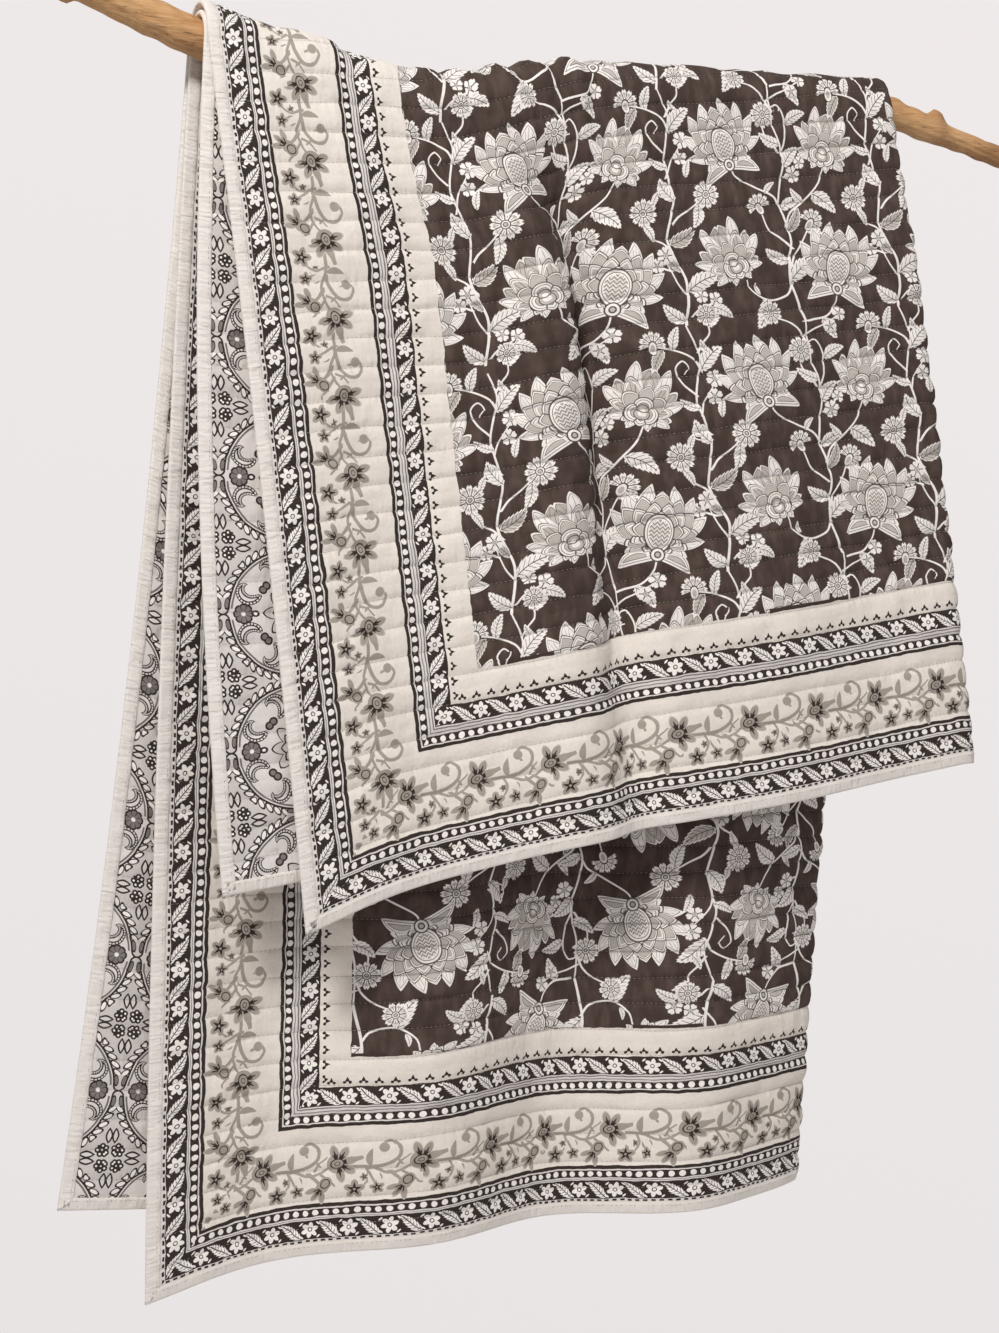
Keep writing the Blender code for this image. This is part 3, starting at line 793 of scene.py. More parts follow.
def stitchTree(material):  # thread laid along each path, one small spindle a stitch
    tree = bpy.data.node_groups.new("runningStitch", "GeometryNodeTree")
    sockets = {"Geometry": "Geometry", **{name: "Float" for name in sewing["size"]}, "Seed": "Int"}
    for name, kind in sockets.items():
        tree.interface.new_socket(name, in_out="INPUT", socket_type="NodeSocket" + kind)
    tree.interface.new_socket("Geometry", in_out="OUTPUT", socket_type="NodeSocketGeometry")
    group = tree.nodes.new("NodeGroupInput")
    given = {name: Wire(tree, group.outputs[name]) for name in sockets}
    node = Wire(tree).node
    curve = node("GeometryNodeMeshToCurve", {}, {"Mesh": given["Geometry"]})
    values = {"Curve": curve, "Length": given["Pitch"]}
    even = node("GeometryNodeResampleCurve", {"mode": "LENGTH"}, values)
    outward = node("GeometryNodeInputNamedAttribute", {"data_type": "FLOAT_VECTOR"}, {"Name": "outward"})
    facing = node(
        "FunctionNodeAxesToRotation",
        {"primary_axis": "Z", "secondary_axis": "X"},
        {"Primary Axis": outward, "Secondary Axis": node("GeometryNodeInputTangent")},
    )
    values = {"X": given["Length"], "Y": given["Width"], "Z": given["Height"]}
    size = node("ShaderNodeCombineXYZ", {}, values)
    spindle = node("GeometryNodeMeshUVSphere", {}, {"Segments": 4, "Rings": 2, "Radius": 0.5})
    shaped = node("GeometryNodeTransform", {}, {"Geometry": spindle, "Scale": size})
    uneven = node(
        "FunctionNodeRandomValue",
        {"data_type": "FLOAT_VECTOR"},
        {"Min": (0.75, 0.85, 0.8), "Max": (1.12, 1.15, 1.2), "Seed": given["Seed"]},
    )
    values = {"Points": even, "Instance": shaped, "Rotation": facing, "Scale": uneven}
    placed = node("GeometryNodeInstanceOnPoints", {}, values)
    real = node("GeometryNodeRealizeInstances", {}, {"Geometry": placed})
    named = node("GeometryNodeSetMaterial", {}, {"Geometry": real, "Material": material})
    tree.links.new(named.socket, tree.nodes.new("NodeGroupOutput").inputs[0])
    return tree


def sew(name, paths, tree):
    guide = addPaths(name + "Path", paths)
    modifier = guide.modifiers.new("running stitch", "NODES")
    modifier.node_group = tree
    for item in tree.interface.items_tree:
        if item.in_out == "INPUT" and item.name in sewing["size"]:
            modifier[item.identifier] = sewing["size"][item.name]
    bpy.context.view_layer.update()
    graph = bpy.context.evaluated_depsgraph_get()
    mesh = bpy.data.meshes.new_from_object(guide.evaluated_get(graph))
    mesh.name = name
    bpy.data.objects.remove(guide)
    return addObject(name, mesh)


def quiltingPaths(surface, perRow):  # the valleys of the mesh, one path for each quilting line
    paths = []
    for row in range(perRow, throw["rows"] * perRow, perRow):
        u = surface["u"][row]
        inside = (u > sewing["ends"]) & (u < throw["width"] - sewing["ends"])
        points, outward = surface["points"][row][inside], surface["normal"][row][inside]
        paths.append((points + outward * sewing["lift"], outward))
    return paths


def edgePath(side):  # the line of stitches that holds the binding
    inset, rise = sewing["edgePlace"]
    mid, normal, half = edgeLine(side, inset)
    points = mid + normal * (side * (half + binding["height"] * rise))[:, None]
    return np.concatenate([points, points[:1]]), np.concatenate([normal, normal[:1]]) * side


field = {
    "repeat": (206, 208),  # millimetres, as all the places in it
    "blooms": ((43, 57, -20, 38.5), (153, 149, 22, 38)),  # x, y, tilt clockwise, size
    "palmettes": ((147, 43, 14, 42), (49, 160, -12, 41)),
    "paths": {  # width, then the points that each path passes
        "stem": (
            2.5,
            ((104, -4), (97, 34), (104, 68), (98, 100), (108, 138), (103, 172), (104, 204)),
            ((198, -2), (205, 36), (194, 72), (202, 108), (196, 146), (205, 180), (198, 206)),
        ),
        "branch": (
            2.1,
            ((98, 27), (90, 18), (72, 15), (58, 24), (54, 36)),
            ((105, -6), (112, -5), (126, -3), (136, 6), (140.5, 18)), ((195, 46), (186, 50), (180, 52)),
            ((102, 80), (108, 90), (124, 100), (140, 114), (147, 126), (150, 134)),
            ((98, 98), (92, 106), (78, 114), (59, 126), (54.5, 135)),
            ((197, 62), (190, 70), (179, 78), (175, 92)),
            ((199, 86), (206, 93), (218, 100), (232, 110)),
            ((204, 170), (198, 180), (184, 188), (169, 192)),
            ((204, 184), (210, 192), (217, 200), (217, 213)),
            ((104, 146), (98, 154), (93, 162), (94, 174)), ((98, 40), (104, 50), (114, 62), (126, 78)),
            ((102, 60), (94, 68), (84, 78), (79, 94)), ((102, 184), (97, 194), (88, 202), (73, 209)),
        ),
        "twig": (
            1.8,
            ((107, 142), (113, 156), (116, 172), (111, 185), (103, 183), (103, 175), (108, 174)),
            ((202, 116), (196, 124), (189, 121), (189, 113), (195, 110)),
            ((197, 130), (202, 142), (213, 156)), ((204, 26), (196, 38), (190, 58)),
            ((204, 6), (211, 12), (227, 18)), ((103, 191), (112, 195), (122, 198), (138, 205)),
            ((106, 122), (114, 124), (122, 132)),
            ((195, 150), (186, 160), (182, 172), (188, 178), (193, 173), (190, 168)),
        ),
    },
    "daisies": (  # x, y, tilt, size, petals; below 0 is a fan seen from the side
        (94, 178, 0, 11.9, 10), (127, 80, 40, 11.9, -11), (78, 98, -20, 11.5, -11),
        (174, 98, 0, 12.8, 11), (28, 112, 60, 12.8, 10), (215, 161, 20, 8, 6), (6, 146, 0, 7, 5),
        (190, 60, 0, 8, 6), (182, 52, 0, 6.5, 5), (166, 194, 0, 11.9, -11), (12, 8, 0, 10.2, 9),
        (22, 20, 30, 7, 5), (10, 24, 0, 6.5, 5), (72, 4, 0, 10.6, 9), (138, 206, 0, 7, 5),
        (128, 196, 30, 6.5, 5), (116, 124, 20, 8, 6), (124, 134, 0, 6, 5),
    ),
    "leaves": (  # base x, base y, heading, length, width share; below 0 has a toned half
        (97, 32, 30, 34, 0.42), (99, 46, 150, 26, 0.40), (104, 72, 60, 26, -0.38),
        (99, 94, 20, 24, 0.40), (106, 132, 40, 26, 0.42), (107, 150, 150, 24, 0.40),
        (116, 170, 20, 24, 0.42), (72, 16, 240, 30, 0.44), (64, 20, 100, 12, 0.34),
        (122, -4, 300, 24, 0.42), (122, 98, 130, 18, 0.36), (132, 106, 320, 30, 0.44),
        (84, 109, 40, 16, 0.34), (205, 30, 20, 34, 0.42), (203, 46, 140, 20, -0.36),
        (196, 68, 30, 30, -0.42), (202, 106, 120, 26, 0.40), (198, 136, 150, 20, 0.36),
        (203, 170, 40, 30, 0.44), (182, 188, 70, 22, 0.40), (174, 190, 240, 24, -0.38),
        (199, 2, 140, 26, 0.42), (216, 206, 40, 26, 0.40), (224, 15, 330, 22, 0.40),
        (226, 106, 50, 20, 0.38), (22, 104, 250, 24, 0.42), (174, 88, 300, 18, 0.36),
        (182, 104, 60, 16, 0.36), (122, 74, 330, 20, 0.38), (8, 128, 70, 18, 0.36),
        (10, 180, 120, 18, 0.36),
    ),
    "wear": (110.0, 40.0, 1.0),  # stretch of the faded patches
}
motif = {
    "copies": [(across, down) for across in (-1, 0, 1) for down in (-1, 0, 1)],
    "endless": 9000,  # millimetres, past which a repeat is none
    "pathSteps": 14,  # places on a path between two of its points
    "pathTaper": 0.6,  # width left at a path's end
    "pathReach": 5.6,  # millimetres from a path that its faces are stamped
    "pathEnd": 1.2,
    "straight": 900,  # the widest circle that a path follows
    "tightest": 1.6,
    "spare": 4.6,  # millimetres round a motif that its faces are stamped
    "empty": 9.0,  # a place outside every motif
}


def splineOf(points):  # places along a smooth curve, and the circle that fits each
    points = np.array(points, float)
    points = np.concatenate([2 * points[:1] - points[1:2], points, 2 * points[-1:] - points[-2:-1]])
    t = (np.arange(motif["pathSteps"]) / motif["pathSteps"])[:, None]
    rows = []
    for a, b, c, d in zip(points, points[1:], points[2:], points[3:]):
        second, third = 2 * a - 5 * b + 4 * c - d, 3 * b - a - 3 * c + d
        place = b + 0.5 * ((c - a) * t + second * t**2 + third * t**3)
        speed = 0.5 * ((c - a) + 2 * second * t + 3 * third * t**2)
        rows.append(np.concatenate([place, speed, 0.5 * (2 * second + 6 * third * t)], axis=1))
    place, speed, change = np.split(np.concatenate(rows), 3, axis=1)
    bend = speed[:, 0] * change[:, 1] - speed[:, 1] * change[:, 0]
    pace = np.hypot(*speed.T)[:, None]
    slight = 1e-3 * pace[:, 0] ** 3
    bend = np.where(np.abs(bend) < slight, slight, bend)[:, None]
    radius = np.clip(pace**3 / bend, -motif["straight"], motif["straight"])
    radius = np.sign(radius) * np.maximum(np.abs(radius), motif["tightest"])
    across = np.stack([-speed[:, 1], speed[:, 0]], axis=1) / pace
    share = np.linspace(0, 1, len(place))[:, None]
    return np.concatenate([place, place + across * radius, np.abs(radius), share, speed / pace], axis=1)


def stampPaths(flat, paths, repeat):  # each face gets the nearest place on a path, as a ring
    width, *table = paths
    repeat = np.array(repeat)
    steps = np.minimum(repeat, motif["endless"])
    rows = np.concatenate([splineOf(points) for points in table])
    tree = kdtree.KDTree(len(rows) * len(motif["copies"]))
    for copy, way in enumerate(motif["copies"]):
        for index, (x, y) in enumerate(rows[:, :2] + np.array(way) * steps):
            tree.insert((x, y, 0), index + copy * len(rows))
    tree.balance()
    centre = flat.mean(axis=1)
    near = np.where(repeat < motif["endless"], centre % repeat, centre)
    found = [tree.find((x, y, 0))[1:] for x, y in near]
    index, gap = np.array(found).T
    copy, index = np.divmod(index.astype(int), len(rows))
    place, middle, radius, share, way = np.split(rows[index], (2, 4, 5, 6), axis=1)
    near = near - np.array(motif["copies"])[copy] * steps
    beyond = ((near - place) * way).sum(axis=1)
    end = motif["pathEnd"]
    past = (share[:, 0] == 0) & (beyond < -end) | (share[:, 0] == 1) & (beyond > end)
    here = (gap < motif["pathReach"]) & ~past
    stamp = np.full(flat.shape[:2] + (3,), motif["empty"])
    stamp[..., 2] = 0
    local = (flat - centre[:, None]) + (near - middle)[:, None]
    stamp[here, :, :2] = (local / radius[:, None])[here]
    wide = width / 2 * (1 - (1 - motif["pathTaper"]) * share)
    stamp[here, :, 2] = (wide / radius)[here]
    return stamp


def stampMotifs(flat, table, repeat, leaf=False):  # each face gets its place in the nearest motif
    repeat = np.array(repeat)
    centre = flat.mean(axis=1)
    best = np.full(len(centre), motif["empty"])
    stamp = np.full(flat.shape[:2] + (3,), motif["empty"])
    stamp[..., 2] = 1
    for x, y, tilt, size, *code in table:
        turn = math.radians(tilt)
        if leaf:
            size = size / 2
            x, y = x + size * math.cos(turn), y + size * math.sin(turn)
            turn = -turn
        near = (centre - np.array([x, y]) + repeat / 2) % repeat - repeat / 2
        spin = np.array([[math.cos(turn), math.sin(turn)], [-math.sin(turn), math.cos(turn)]])
        local = near @ spin
        far = np.hypot(local[:, 0], local[:, 1] * (1.7 if leaf else 1)) / size
        closer = (far < best) & (far < 1.05 + motif["spare"] / size * (1.5 if leaf else 1))
        best[closer] = far[closer]
        points = (flat[closer] - centre[closer][:, None]) + near[closer][:, None]
        stamp[closer, :, :2] = points @ spin / size
        stamp[closer, :, 2] = code[0] if code else 0
    return stamp


def stampField(flat):
    repeat = field["repeat"]
    return {
        "bloom": stampMotifs(flat, field["blooms"], repeat),
        "palmette": stampMotifs(flat, field["palmettes"], repeat),
        "daisy": stampMotifs(flat, field["daisies"], repeat),
        "leaf": stampMotifs(flat, field["leaves"], repeat, True),
        **{name: stampPaths(flat, paths, repeat) for name, paths in field["paths"].items()},
    }


def printCloth(obj, corners):  # the field's and the border's stamps, each on its own faces
    flat, size = corners * 1000, np.array([throw["width"], throw["length"]]) * 1000
    beside = np.minimum(flat.min(axis=1), size - flat.max(axis=1)).min(axis=1)
    inBorder = beside < border["depth"] - 0.5
    stamps = stampField(flat)
    for name, stamp in stampBorder(flat[inBorder], size).items():
        stamps[name][inBorder] = stamp
    for name, stamp in stamps.items():
        setValues(obj.data, name, ("FLOAT_VECTOR", "CORNER", "vector"), stamp)
    obj.data.polygons.foreach_set("material_index", inBorder.astype(np.int32))


def drawPaths(ink, table, tone):
    for name in table:
        x, y, width = ink.spot(name)
        ink.block(abs(length(x, y) - 1) < width, tone)


# in each motif x and y are shares of its size, and a depth is the way in from an outline
def drawLeaf(ink):
    x, y, width = ink.spot("leaf")
    lean = width.maths("SIGN")
    y = y + lean * 0.20 * (x * x) - lean * 0.09
    wide = abs(width)
    shape = (1 - x * x | 0.0) ** 0.85 * (1 - 0.40 * x)
    teeth = (x * 3.4 - abs(y) * 1.6).maths("FRACT")
    serrate = wide * 0.24 * (teeth**0.7) * (abs(x) < 0.86)
    depth = wide * shape * 0.92 + serrate - wide * 0.06 - abs(y)
    ink.block(depth > 0, "white")
    ink.bands(depth, "0.085 line, 0.105 beige", lean < 0)
    veins = (x * 3.4 - abs(y) * 3.2).maths("FRACT") < 0.13
    marks = (abs(y) < 0.024) | veins * (depth > 0.10)
    ink.block(marks * (depth > 0.06) * (x < 0.72), "line")


def drawDaisy(ink):
    x, y, count = ink.spot("daisy")
    r, turn = length(x, y), bearing(x, y)
    fan = count < 0
    number = abs(count)
    petal = (turn * number * (1 / math.pi)).maths("PINGPONG", 1)
    edge = 1 - 0.30 * petal**2.2 - 0.10 * (petal < 0.16)
    cut = fan * (abs(turn) > 1.85)
    depth = edge - r - cut * 0.9
    ink.bands(depth, "0 white, 0.20 beige, 0.34 white", number > 6)
    ink.block((depth > 0) * (number < 6.5), "white")
    split = (petal > 1 - 0.10 / r) * (depth > 0.0) * (r > 0.26)
    middle = (petal < 0.05 / r) * (depth > 0.16) * (r > 0.4) * (number > 6)
    ink.block(split | middle, "line")
    ink.bands(0.30 - r, "0 line, 0.06 white, 0.14 line, 0.19 beige")
    cup = 0.50 - length(x * 1.6, y + 0.25)
    ink.bands(cup, "0 line, 0.05 white, 0.24 beige", fan)


def drawPetals(ink, r, side, reach, rows):  # rows of petals, the lowest first
    for size, count, notch, lean, sharp, vein, bands in rows:
        petal = (side * (count / math.pi) + r * lean).maths("PINGPONG", 1)
        depth = reach * (size - size * notch * petal**sharp) - r
        ink.bands(depth, bands)
        split = petal > 1 - 0.0036 * count / r
        if vein:
            split = split | (abs(petal - 0.36) < 0.014 / r) * (depth > vein)
            split = split | (petal < 0.011 / r) * (depth > vein)
        ink.block(split * (depth > 0), "line")


# rows of petals: size, petals in a half turn, notch, slant, sharpness, vein, dyes by depth
bloomRows = (
    (0.86, 9.0, 0.40, 1.9, 1.3, 0.07, "0 white, 0.04 line, 0.055 beige"),
    (1.0, 9.0, 0.60, 0.9, 1.35, 0.11, "-0.016 line, 0 white, 0.045 line, 0.058 white"),
    (0.74, 8.0, 0.46, 0.8, 1.35, 0.09, "-0.020 line, 0 white, 0.036 line, 0.05 white, 0.10 beige"),
    (0.54, 6.0, 0.36, 0.5, 1.4, 0, "-0.020 line, 0 white, 0.032 line, 0.045 beige"),
)
bloomCup = (
    (
        *(0.40, 3.5, 0.24, 0, 2.4, 0),
        "-0.022 line, 0 white, 0.036 line, 0.048 white, 0.10 line, 0.112 beige",
    ),
    (0.20, 2.5, 0.30, 0, 2.2, 0, "-0.020 line, 0 beige, 0.06 white"),
)
palmetteRows = (
    (1.0, 14.0, 0.26, 3.0, 1.1, 0.095, "0 white, 0.055 line, 0.067 white"),
    (0.78, 13.0, 0.20, 2.6, 1.1, 0, "-0.020 line, 0 white, 0.034 line, 0.046 beige"),
    (0.62, 11.0, 0.22, 2.0, 1.1, 0, "-0.020 line, 0 white, 0.032 line, 0.044 white, 0.09 beige"),
    (0.47, 8.0, 0.18, 1.0, 1.1, 0, "-0.020 line, 0 white, 0.030 line, 0.042 beige"),
)


def drawBloom(ink):  # a many petalled flower seen from the side
    x, y, _ = ink.spot("bloom")
    y = y + 0.28
    r, side = length(x, y), abs(bearing(x, y))
    drawPetals(ink, r, side, 0.78 + 0.38 * side.maths("COSINE"), bloomRows)
    drawPetals(ink, r, side, 0.80, bloomCup)


def drawPalmette(ink):  # rows of scales round a patterned heart, over two sepals
    x, y, _ = ink.spot("palmette")
    across = abs(x)
    along = (across - 0.34) * 2.5 + (y + 0.70) * -0.9
    off = (across - 0.34) * 0.34 + (y + 0.70) * 0.94 + along * along * 0.13 - 0.06
    sepal = (1 - along * along | 0.0) ** 0.8 * 0.15 - abs(off)
    ink.bands(sepal, "0 white, 0.04 line, 0.052 white, 0.09 line, 0.102 beige")
    y = y + 0.16
    r, side = length(x, y), abs(bearing(x, y))
    reach = 0.84 + 0.27 * side.maths("COSINE") - 0.10 * (side * 2).maths("COSINE")
    drawPetals(ink, r, side, reach, palmetteRows)
    egg = 1 - length(x * 3.9, y * 2.7 - across * 0.35 - 0.02)
    ink.bands(egg, "-0.09 line, 0 white, 0.13 line, 0.17 white")
    zigzag = (y * 12 - (x * 20).maths("PINGPONG", 1) * 0.8).maths("FRACT")
    ink.block((zigzag < 0.22) * (egg > 0.24), "line")
    ink.block((zigzag > 0.60) * (egg > 0.30), "beige")
    bud = 0.11 - length(x, (y + 0.42) * 0.9)
    ink.bands(bud, "-0.025 line, 0 white, 0.045 line, 0.07 beige")


cotton = {
    "roughness": 0.86,
    "specular": 0.22,
    "thread": 0.0011,
    "scales": (26.0, 420.0, 62.0),  # of the wear, the fibres and the crumples
    "wear": (0.20, 0.90),  # range and least of the shade
    "fibre": (0.16, -0.08),
    "seamShade": 11,  # how soon the shade beside a quilting line ends
    "gathers": (210.0, 46.0, 1.0),  # stretch of the creases beside the quilting
    "gatherFade": 1.6,
    "heights": (0.03, 0.85, 0.75),  # of the threads, the creases and the crumples
    "relief": (0.0030, 0.8),
    "bindingThread": 0.0009,
    "bindingDrag": (330.0, 60.0, 1.0),
}


def weave(across, down, pitch):
    return (across * (2 * math.pi / pitch)).maths("SINE") * (down * (2 * math.pi / pitch)).maths("SINE")


def clothFinish(ink, paintedCreaseShade=0.10):  # wear, painted shade and creases along the quilting, and the weave
    uv = ink.flatPlace()
    seam = ink.node("ShaderNodeAttribute", {"attribute_name": "seam"}, output=2)
    near = 1 - (seam * cotton["seamShade"] & 1.0)
    wearScale, fibreScale, crumpleScale = cotton["scales"]
    wear, fibre = ink.noise(uv, wearScale), ink.noise(uv, fibreScale, 2.0)
    # painted shade: near is 1 on a quilting line and 0 a little beside it, so the colour darkens where
    # the crease would lie in shade
    wearAndPaintedShade = wear.scaled(*cotton["wear"]) + fibre.scaled(*cotton["fibre"]) - near * near * paintedCreaseShade
    worn = ink.node("ShaderNodeHueSaturation", {}, {"Color": ink.colour, "Value": wearAndPaintedShade})
    across, down, _ = uv.split()
    threads = weave(across, down, cotton["thread"])
    gathers = ink.noise(uv, 1.0, 3.0, cotton["gathers"]) * (1 - seam * cotton["gatherFade"])
    crumple = ink.noise(uv, crumpleScale, 3.0)
    threadHeight, gatherHeight, crumpleHeight = cotton["heights"]
    height = threads * threadHeight + gathers * gatherHeight + crumple * crumpleHeight
    normal = ink.relief(height, *cotton["relief"])
    return ink.finish({"Base Color": worn, "Normal": normal, "Roughness": cotton["roughness"],
                       "Specular IOR Level": cotton["specular"]})


def edgeCoordinates(ink):  # distance from the nearest edge and place along it, in millimetres
    uv = ink.flatPlace()
    u, v, _ = uv.split()
    sway = ink.noise(uv, 75.0, 2.0).scaled(3.0, -1.5)  # the blocks were not printed quite straight
    u, v = u.scaled(1000, -throw["width"] * 500) + sway, v.scaled(1000, -throw["length"] * 500) + sway
    fromSide, fromHem = throw["width"] * 500 - abs(u), throw["length"] * 500 - abs(v)
    onSide = fromSide < fromHem
    sideAlong, hemAlong = v * -1 * u.maths("SIGN"), u * v.maths("SIGN")
    return fromSide & fromHem, onSide * sideAlong + (1 - onSide) * hemAlong


def fieldMaterial():
    ink = Ink("fieldPrint")
    depth, _ = edgeCoordinates(ink)
    patches = ink.noise(ink.flatPlace(), 1.0, 6.0, field["wear"])
    ink.colour = blended(dyes["ground"], (patches.scaled(3.0, -1.25) | 0.0) & 1.0, dyes["faded"])
    drawPaths(ink, field["paths"], "white")
    for draw in (drawLeaf, drawDaisy, drawBloom, drawPalmette):
        draw(ink)
    ink.block(depth < border["depth"], "cream")
    # 0.42 is the painted shade along the quilting lines, deeper on this dark field than on the border
    # and the reverse
    return clothFinish(ink, 0.42)


border = {  # all in millimetres; depths are from the edge of the cloth
    "depth": 165.0,
    "vineMiddle": 75.0,
    "vineRepeat": {"side": 1660 / 27, "hem": 1300 / 21},
    "outerStripes": (
        "0 cream, 10.0 pale, 13.2 ink, 29.2 pale, 30.2 grey, 30.6 pale, "
        "31.9 ink, 38.6 pale, 39.8 ink, 42.8 cream, 60 cream"
    ),
    "innerStripes": (
        "90 cream, 106.9 ink, 109.6 pale, 110.7 ink, 117.0 pale, 118.8 grey, 119.6 pale, "
        "121.7 grey, 122.5 pale, 123.8 ink, 139.6 cream, 165.0 ground, 180 ground"
    ),
    "middle": 80.0,
    "bands": (21.0, 131.6, 7.6, 30.4),  # depths, half width and repeat of the flower bands
    "beads": (35.4, 113.8, 2.5, 8.0),  # depths, radius and repeat
    "ticks": (11.9, 6.1),  # depth and repeat
    "fleurons": (145.4, 12.2),
    "paths": {  # width, then points inwards and along, from one lily towards the next
        "stem": (2.9, ((-3, -12), (-4, -26), (-9, -38), (-7, -49), (-1, -58))),
        "branch": (
            3.3,
            ((-4, -26), (-2, -37), (4, -46), (13, -47), (18, -40), (14, -34), (9, -37)),
            ((-8, -40), (-14, -46), (-20, -50)),
        ),
        "twig": (
            2.2,
            ((-4, -22), (-12, -24), (-19, -20), (-22, -14)), ((-10, -25), (-16, -28), (-21, -30)),
            ((-8, -48), (-14, -56), (-19, -61), (-16, -66), (-12, -62)),
            ((-6, -44), (0, -47), (4, -52)),
        ),
    },
    "leaves": (  # base inwards and along, heading, length, width share
        (-3, -24.5, -6, 15, 0.30), (-3, -49, 30, 8, -0.22), (-9, -32, 200, 6, 0.2),
        (10, -47, 10, 6, 0.24),
    ),
    "flowers": (  # inwards, along, tilt, size, petals in a half turn
        (0, 0, -14, 16.5, 8), (-22, -13, 20, 8.6, 5), (-12, -20.5, 0, 3.6, 5), (-21, -30, 80, 6.0, 5),
        (-19, -50, -52, 14.5, 10), (12.6, -35.6, 40, 4.0, 1),
    ),
}


def borderPlaces(flat, size):  # each face's side, and its corners inwards and along that side
    middle = flat.mean(axis=1)
    low = middle < size / 2
    beside = np.where(low, middle, size - middle)
    onSide = beside[:, 0] < beside[:, 1]
    inwards = np.where(low[:, None], flat, size - flat)
    along = np.where(low, 1, -1)[:, None] * (flat - size / 2)[..., ::-1] * (1, -1)
    inwards, along = (np.where(onSide[:, None], ways[..., 0], ways[..., 1]) for ways in (inwards, along))
    return onSide, np.stack([inwards - border["vineMiddle"], along], axis=-1)


def stampBorder(flat, size):
    onSide, places = borderPlaces(flat, size)
    tables = {
        **{name: (stampPaths, paths) for name, paths in border["paths"].items()},
        "leaf": (lambda *values: stampMotifs(*values, leaf=True), border["leaves"]),
        "daisy": (stampMotifs, border["flowers"]),
    }
    stamps = {name: np.zeros(flat.shape[:2] + (3,)) for name in tables}
    for name, (stamp, table) in tables.items():
        for here, side in ((onSide, "side"), (~onSide, "hem")):
            stamps[name][here] = stamp(places[here], table, (1e6, border["vineRepeat"][side]))
    return stamps


def fromNearer(depth, near, far):  # place in the nearer of two bands
    return depth - (near + (far - near) * (depth > border["middle"]))


def drawBands(ink, depth, along):  # the two dark bands of flowers and slanting leaves
    near, far, _, repeat = border["bands"]
    x = fromNearer(depth, near, far)
    y = along.within(repeat)
    r, turn = length(x, y), bearing(x, y)
    petal = (turn + 0.3).wave(math.pi / 6)
    flower = 6.9 - 3.4 * petal**1.6 - r
    ink.block(flower > 0, "white")
    gaps = (petal > 1 - 0.42 / r) * (r > 1.7)  # the petals' splits notch the ring
    ink.block(((gaps | abs(r - 1.5)) < 0.38) * (flower > 0), "ink")
    sprig = 1.0 - length((abs(x) - 5.4) * 0.75, abs(y) - 6.6 + (abs(x) - 5.4) * 0.8)
    ink.block(sprig > 0, "white")
    y = along.within(repeat, repeat / 2)
    lengthwise, across = x * 0.66 + y * 0.75, abs(y * 0.66 - x * 0.75)
    rib = (lengthwise * 0.34 - across * 0.26).maths("FRACT")
    shape = (1 - (lengthwise / 10.2) ** 2.0 | 0.0) ** 0.8
    leaf = shape * (2.9 - 0.10 * lengthwise + 1.5 * rib) - across
    ink.block(leaf > 0, "white")
    veins = (abs(across - 0.1) < 0.32) | (rib < 0.22) * (across > 0.7)
    ink.block(veins * (leaf > 0.7) * (abs(x) < 6.4), "ink")


def drawVineFlower(ink):  # a star, or by its petals the open lily (8) or the tulip (10)
    x, y, count = ink.spot("daisy")
    r, turn = length(x, y), bearing(x, y)
    side = abs(turn)
    petal = (turn * count * (1 / math.pi)).maths("PINGPONG", 1)
    lily = (count > 7) * (count < 9)
    tulip = count > 9
    missing = (lily * (side < 1.18) * (r > 0.50)) | (tulip * (side > 0.95) * (r > 0.34))
    depth = 1 - 0.44 * petal**1.6 * (count > 2) - r - missing
    ink.block(depth > 0, "taupe")
    ink.block((depth > 0) * (depth < 0.07) * (1 - lily * (side < 1.18)), "tint")
    stroke = (petal * r < 0.46 * (0.76 - r)) * (r > 0.12) * (r < 0.72) * (count > 2)
    stroke = stroke | (abs(petal - 0.55) * r < 0.07) * (r > 0.20) * (r < 0.50) * (count > 6)
    stroke = stroke * (1 - lily * (side < 1.3)) * (1 - tulip * (side > 0.6))
    ink.block(stroke * (depth > 0.05), "ink")
    ink.block(lily * (abs(x) < 0.13 + 0.10 * (y + 0.9)) * (y < -0.45) * (y > -1.25), "taupe")
    eye = 0.21 - length(x, y * 0.75)
    ink.bands(eye, "-0.05 ink, 0 taupe, 0.10 ink, 0.13 taupe", lily)
    bud = (0.34 - length(x, (y + 0.26) * 0.8)) * tulip
    ink.bands(bud, "0.001 taupe, 0.10 ink, 0.15 taupe")


def drawVineLeaf(ink):
    x, y, width = ink.spot("leaf")
    wide = abs(width)
    y = y + 0.22 * (x * x) - 0.1
    depth = wide * (1 - x * x | 0.0) ** 0.7 * (1.15 - 0.35 * x) - abs(y)
    ink.block(depth > 0, "taupe")


def borderMaterial():
    ink = Ink("borderPrint", dyes["cream"])
    depth, along = edgeCoordinates(ink)
    ink.bands(depth, border["outerStripes"])
    ink.bands(depth, border["innerStripes"])
    ink.block(depth > border["depth"], "ground")
    near, far, radius, repeat = border["beads"]
    bead = length(fromNearer(depth, near, far), along.within(repeat)) < radius
    ink.block(bead, "white")
    near, far, half, _ = border["bands"]
    inBand = (abs(depth - near) < half) | (abs(depth - far) < half)
    plain = ink.colour
    drawBands(ink, depth, along)
    ink.colour = blended(plain, inBand, ink.colour)
    place, repeat = border["ticks"]
    ticks = (abs(depth - place) < 0.85) * (abs(along.within(repeat)) < 1.7)
    place, repeat = border["fleurons"]
    x, y = depth - place, abs(along.within(repeat))
    point = (y < 1.9 - 0.46 * (x + 1.2)) * (x > -1.4)
    wing = length(x + 1.9, y - 2.3) < 1.25
    ink.block(ticks | point | wing, "ink")
    drawPaths(ink, border["paths"], "taupe")
    drawVineLeaf(ink)
    drawVineFlower(ink)
    return clothFinish(ink)


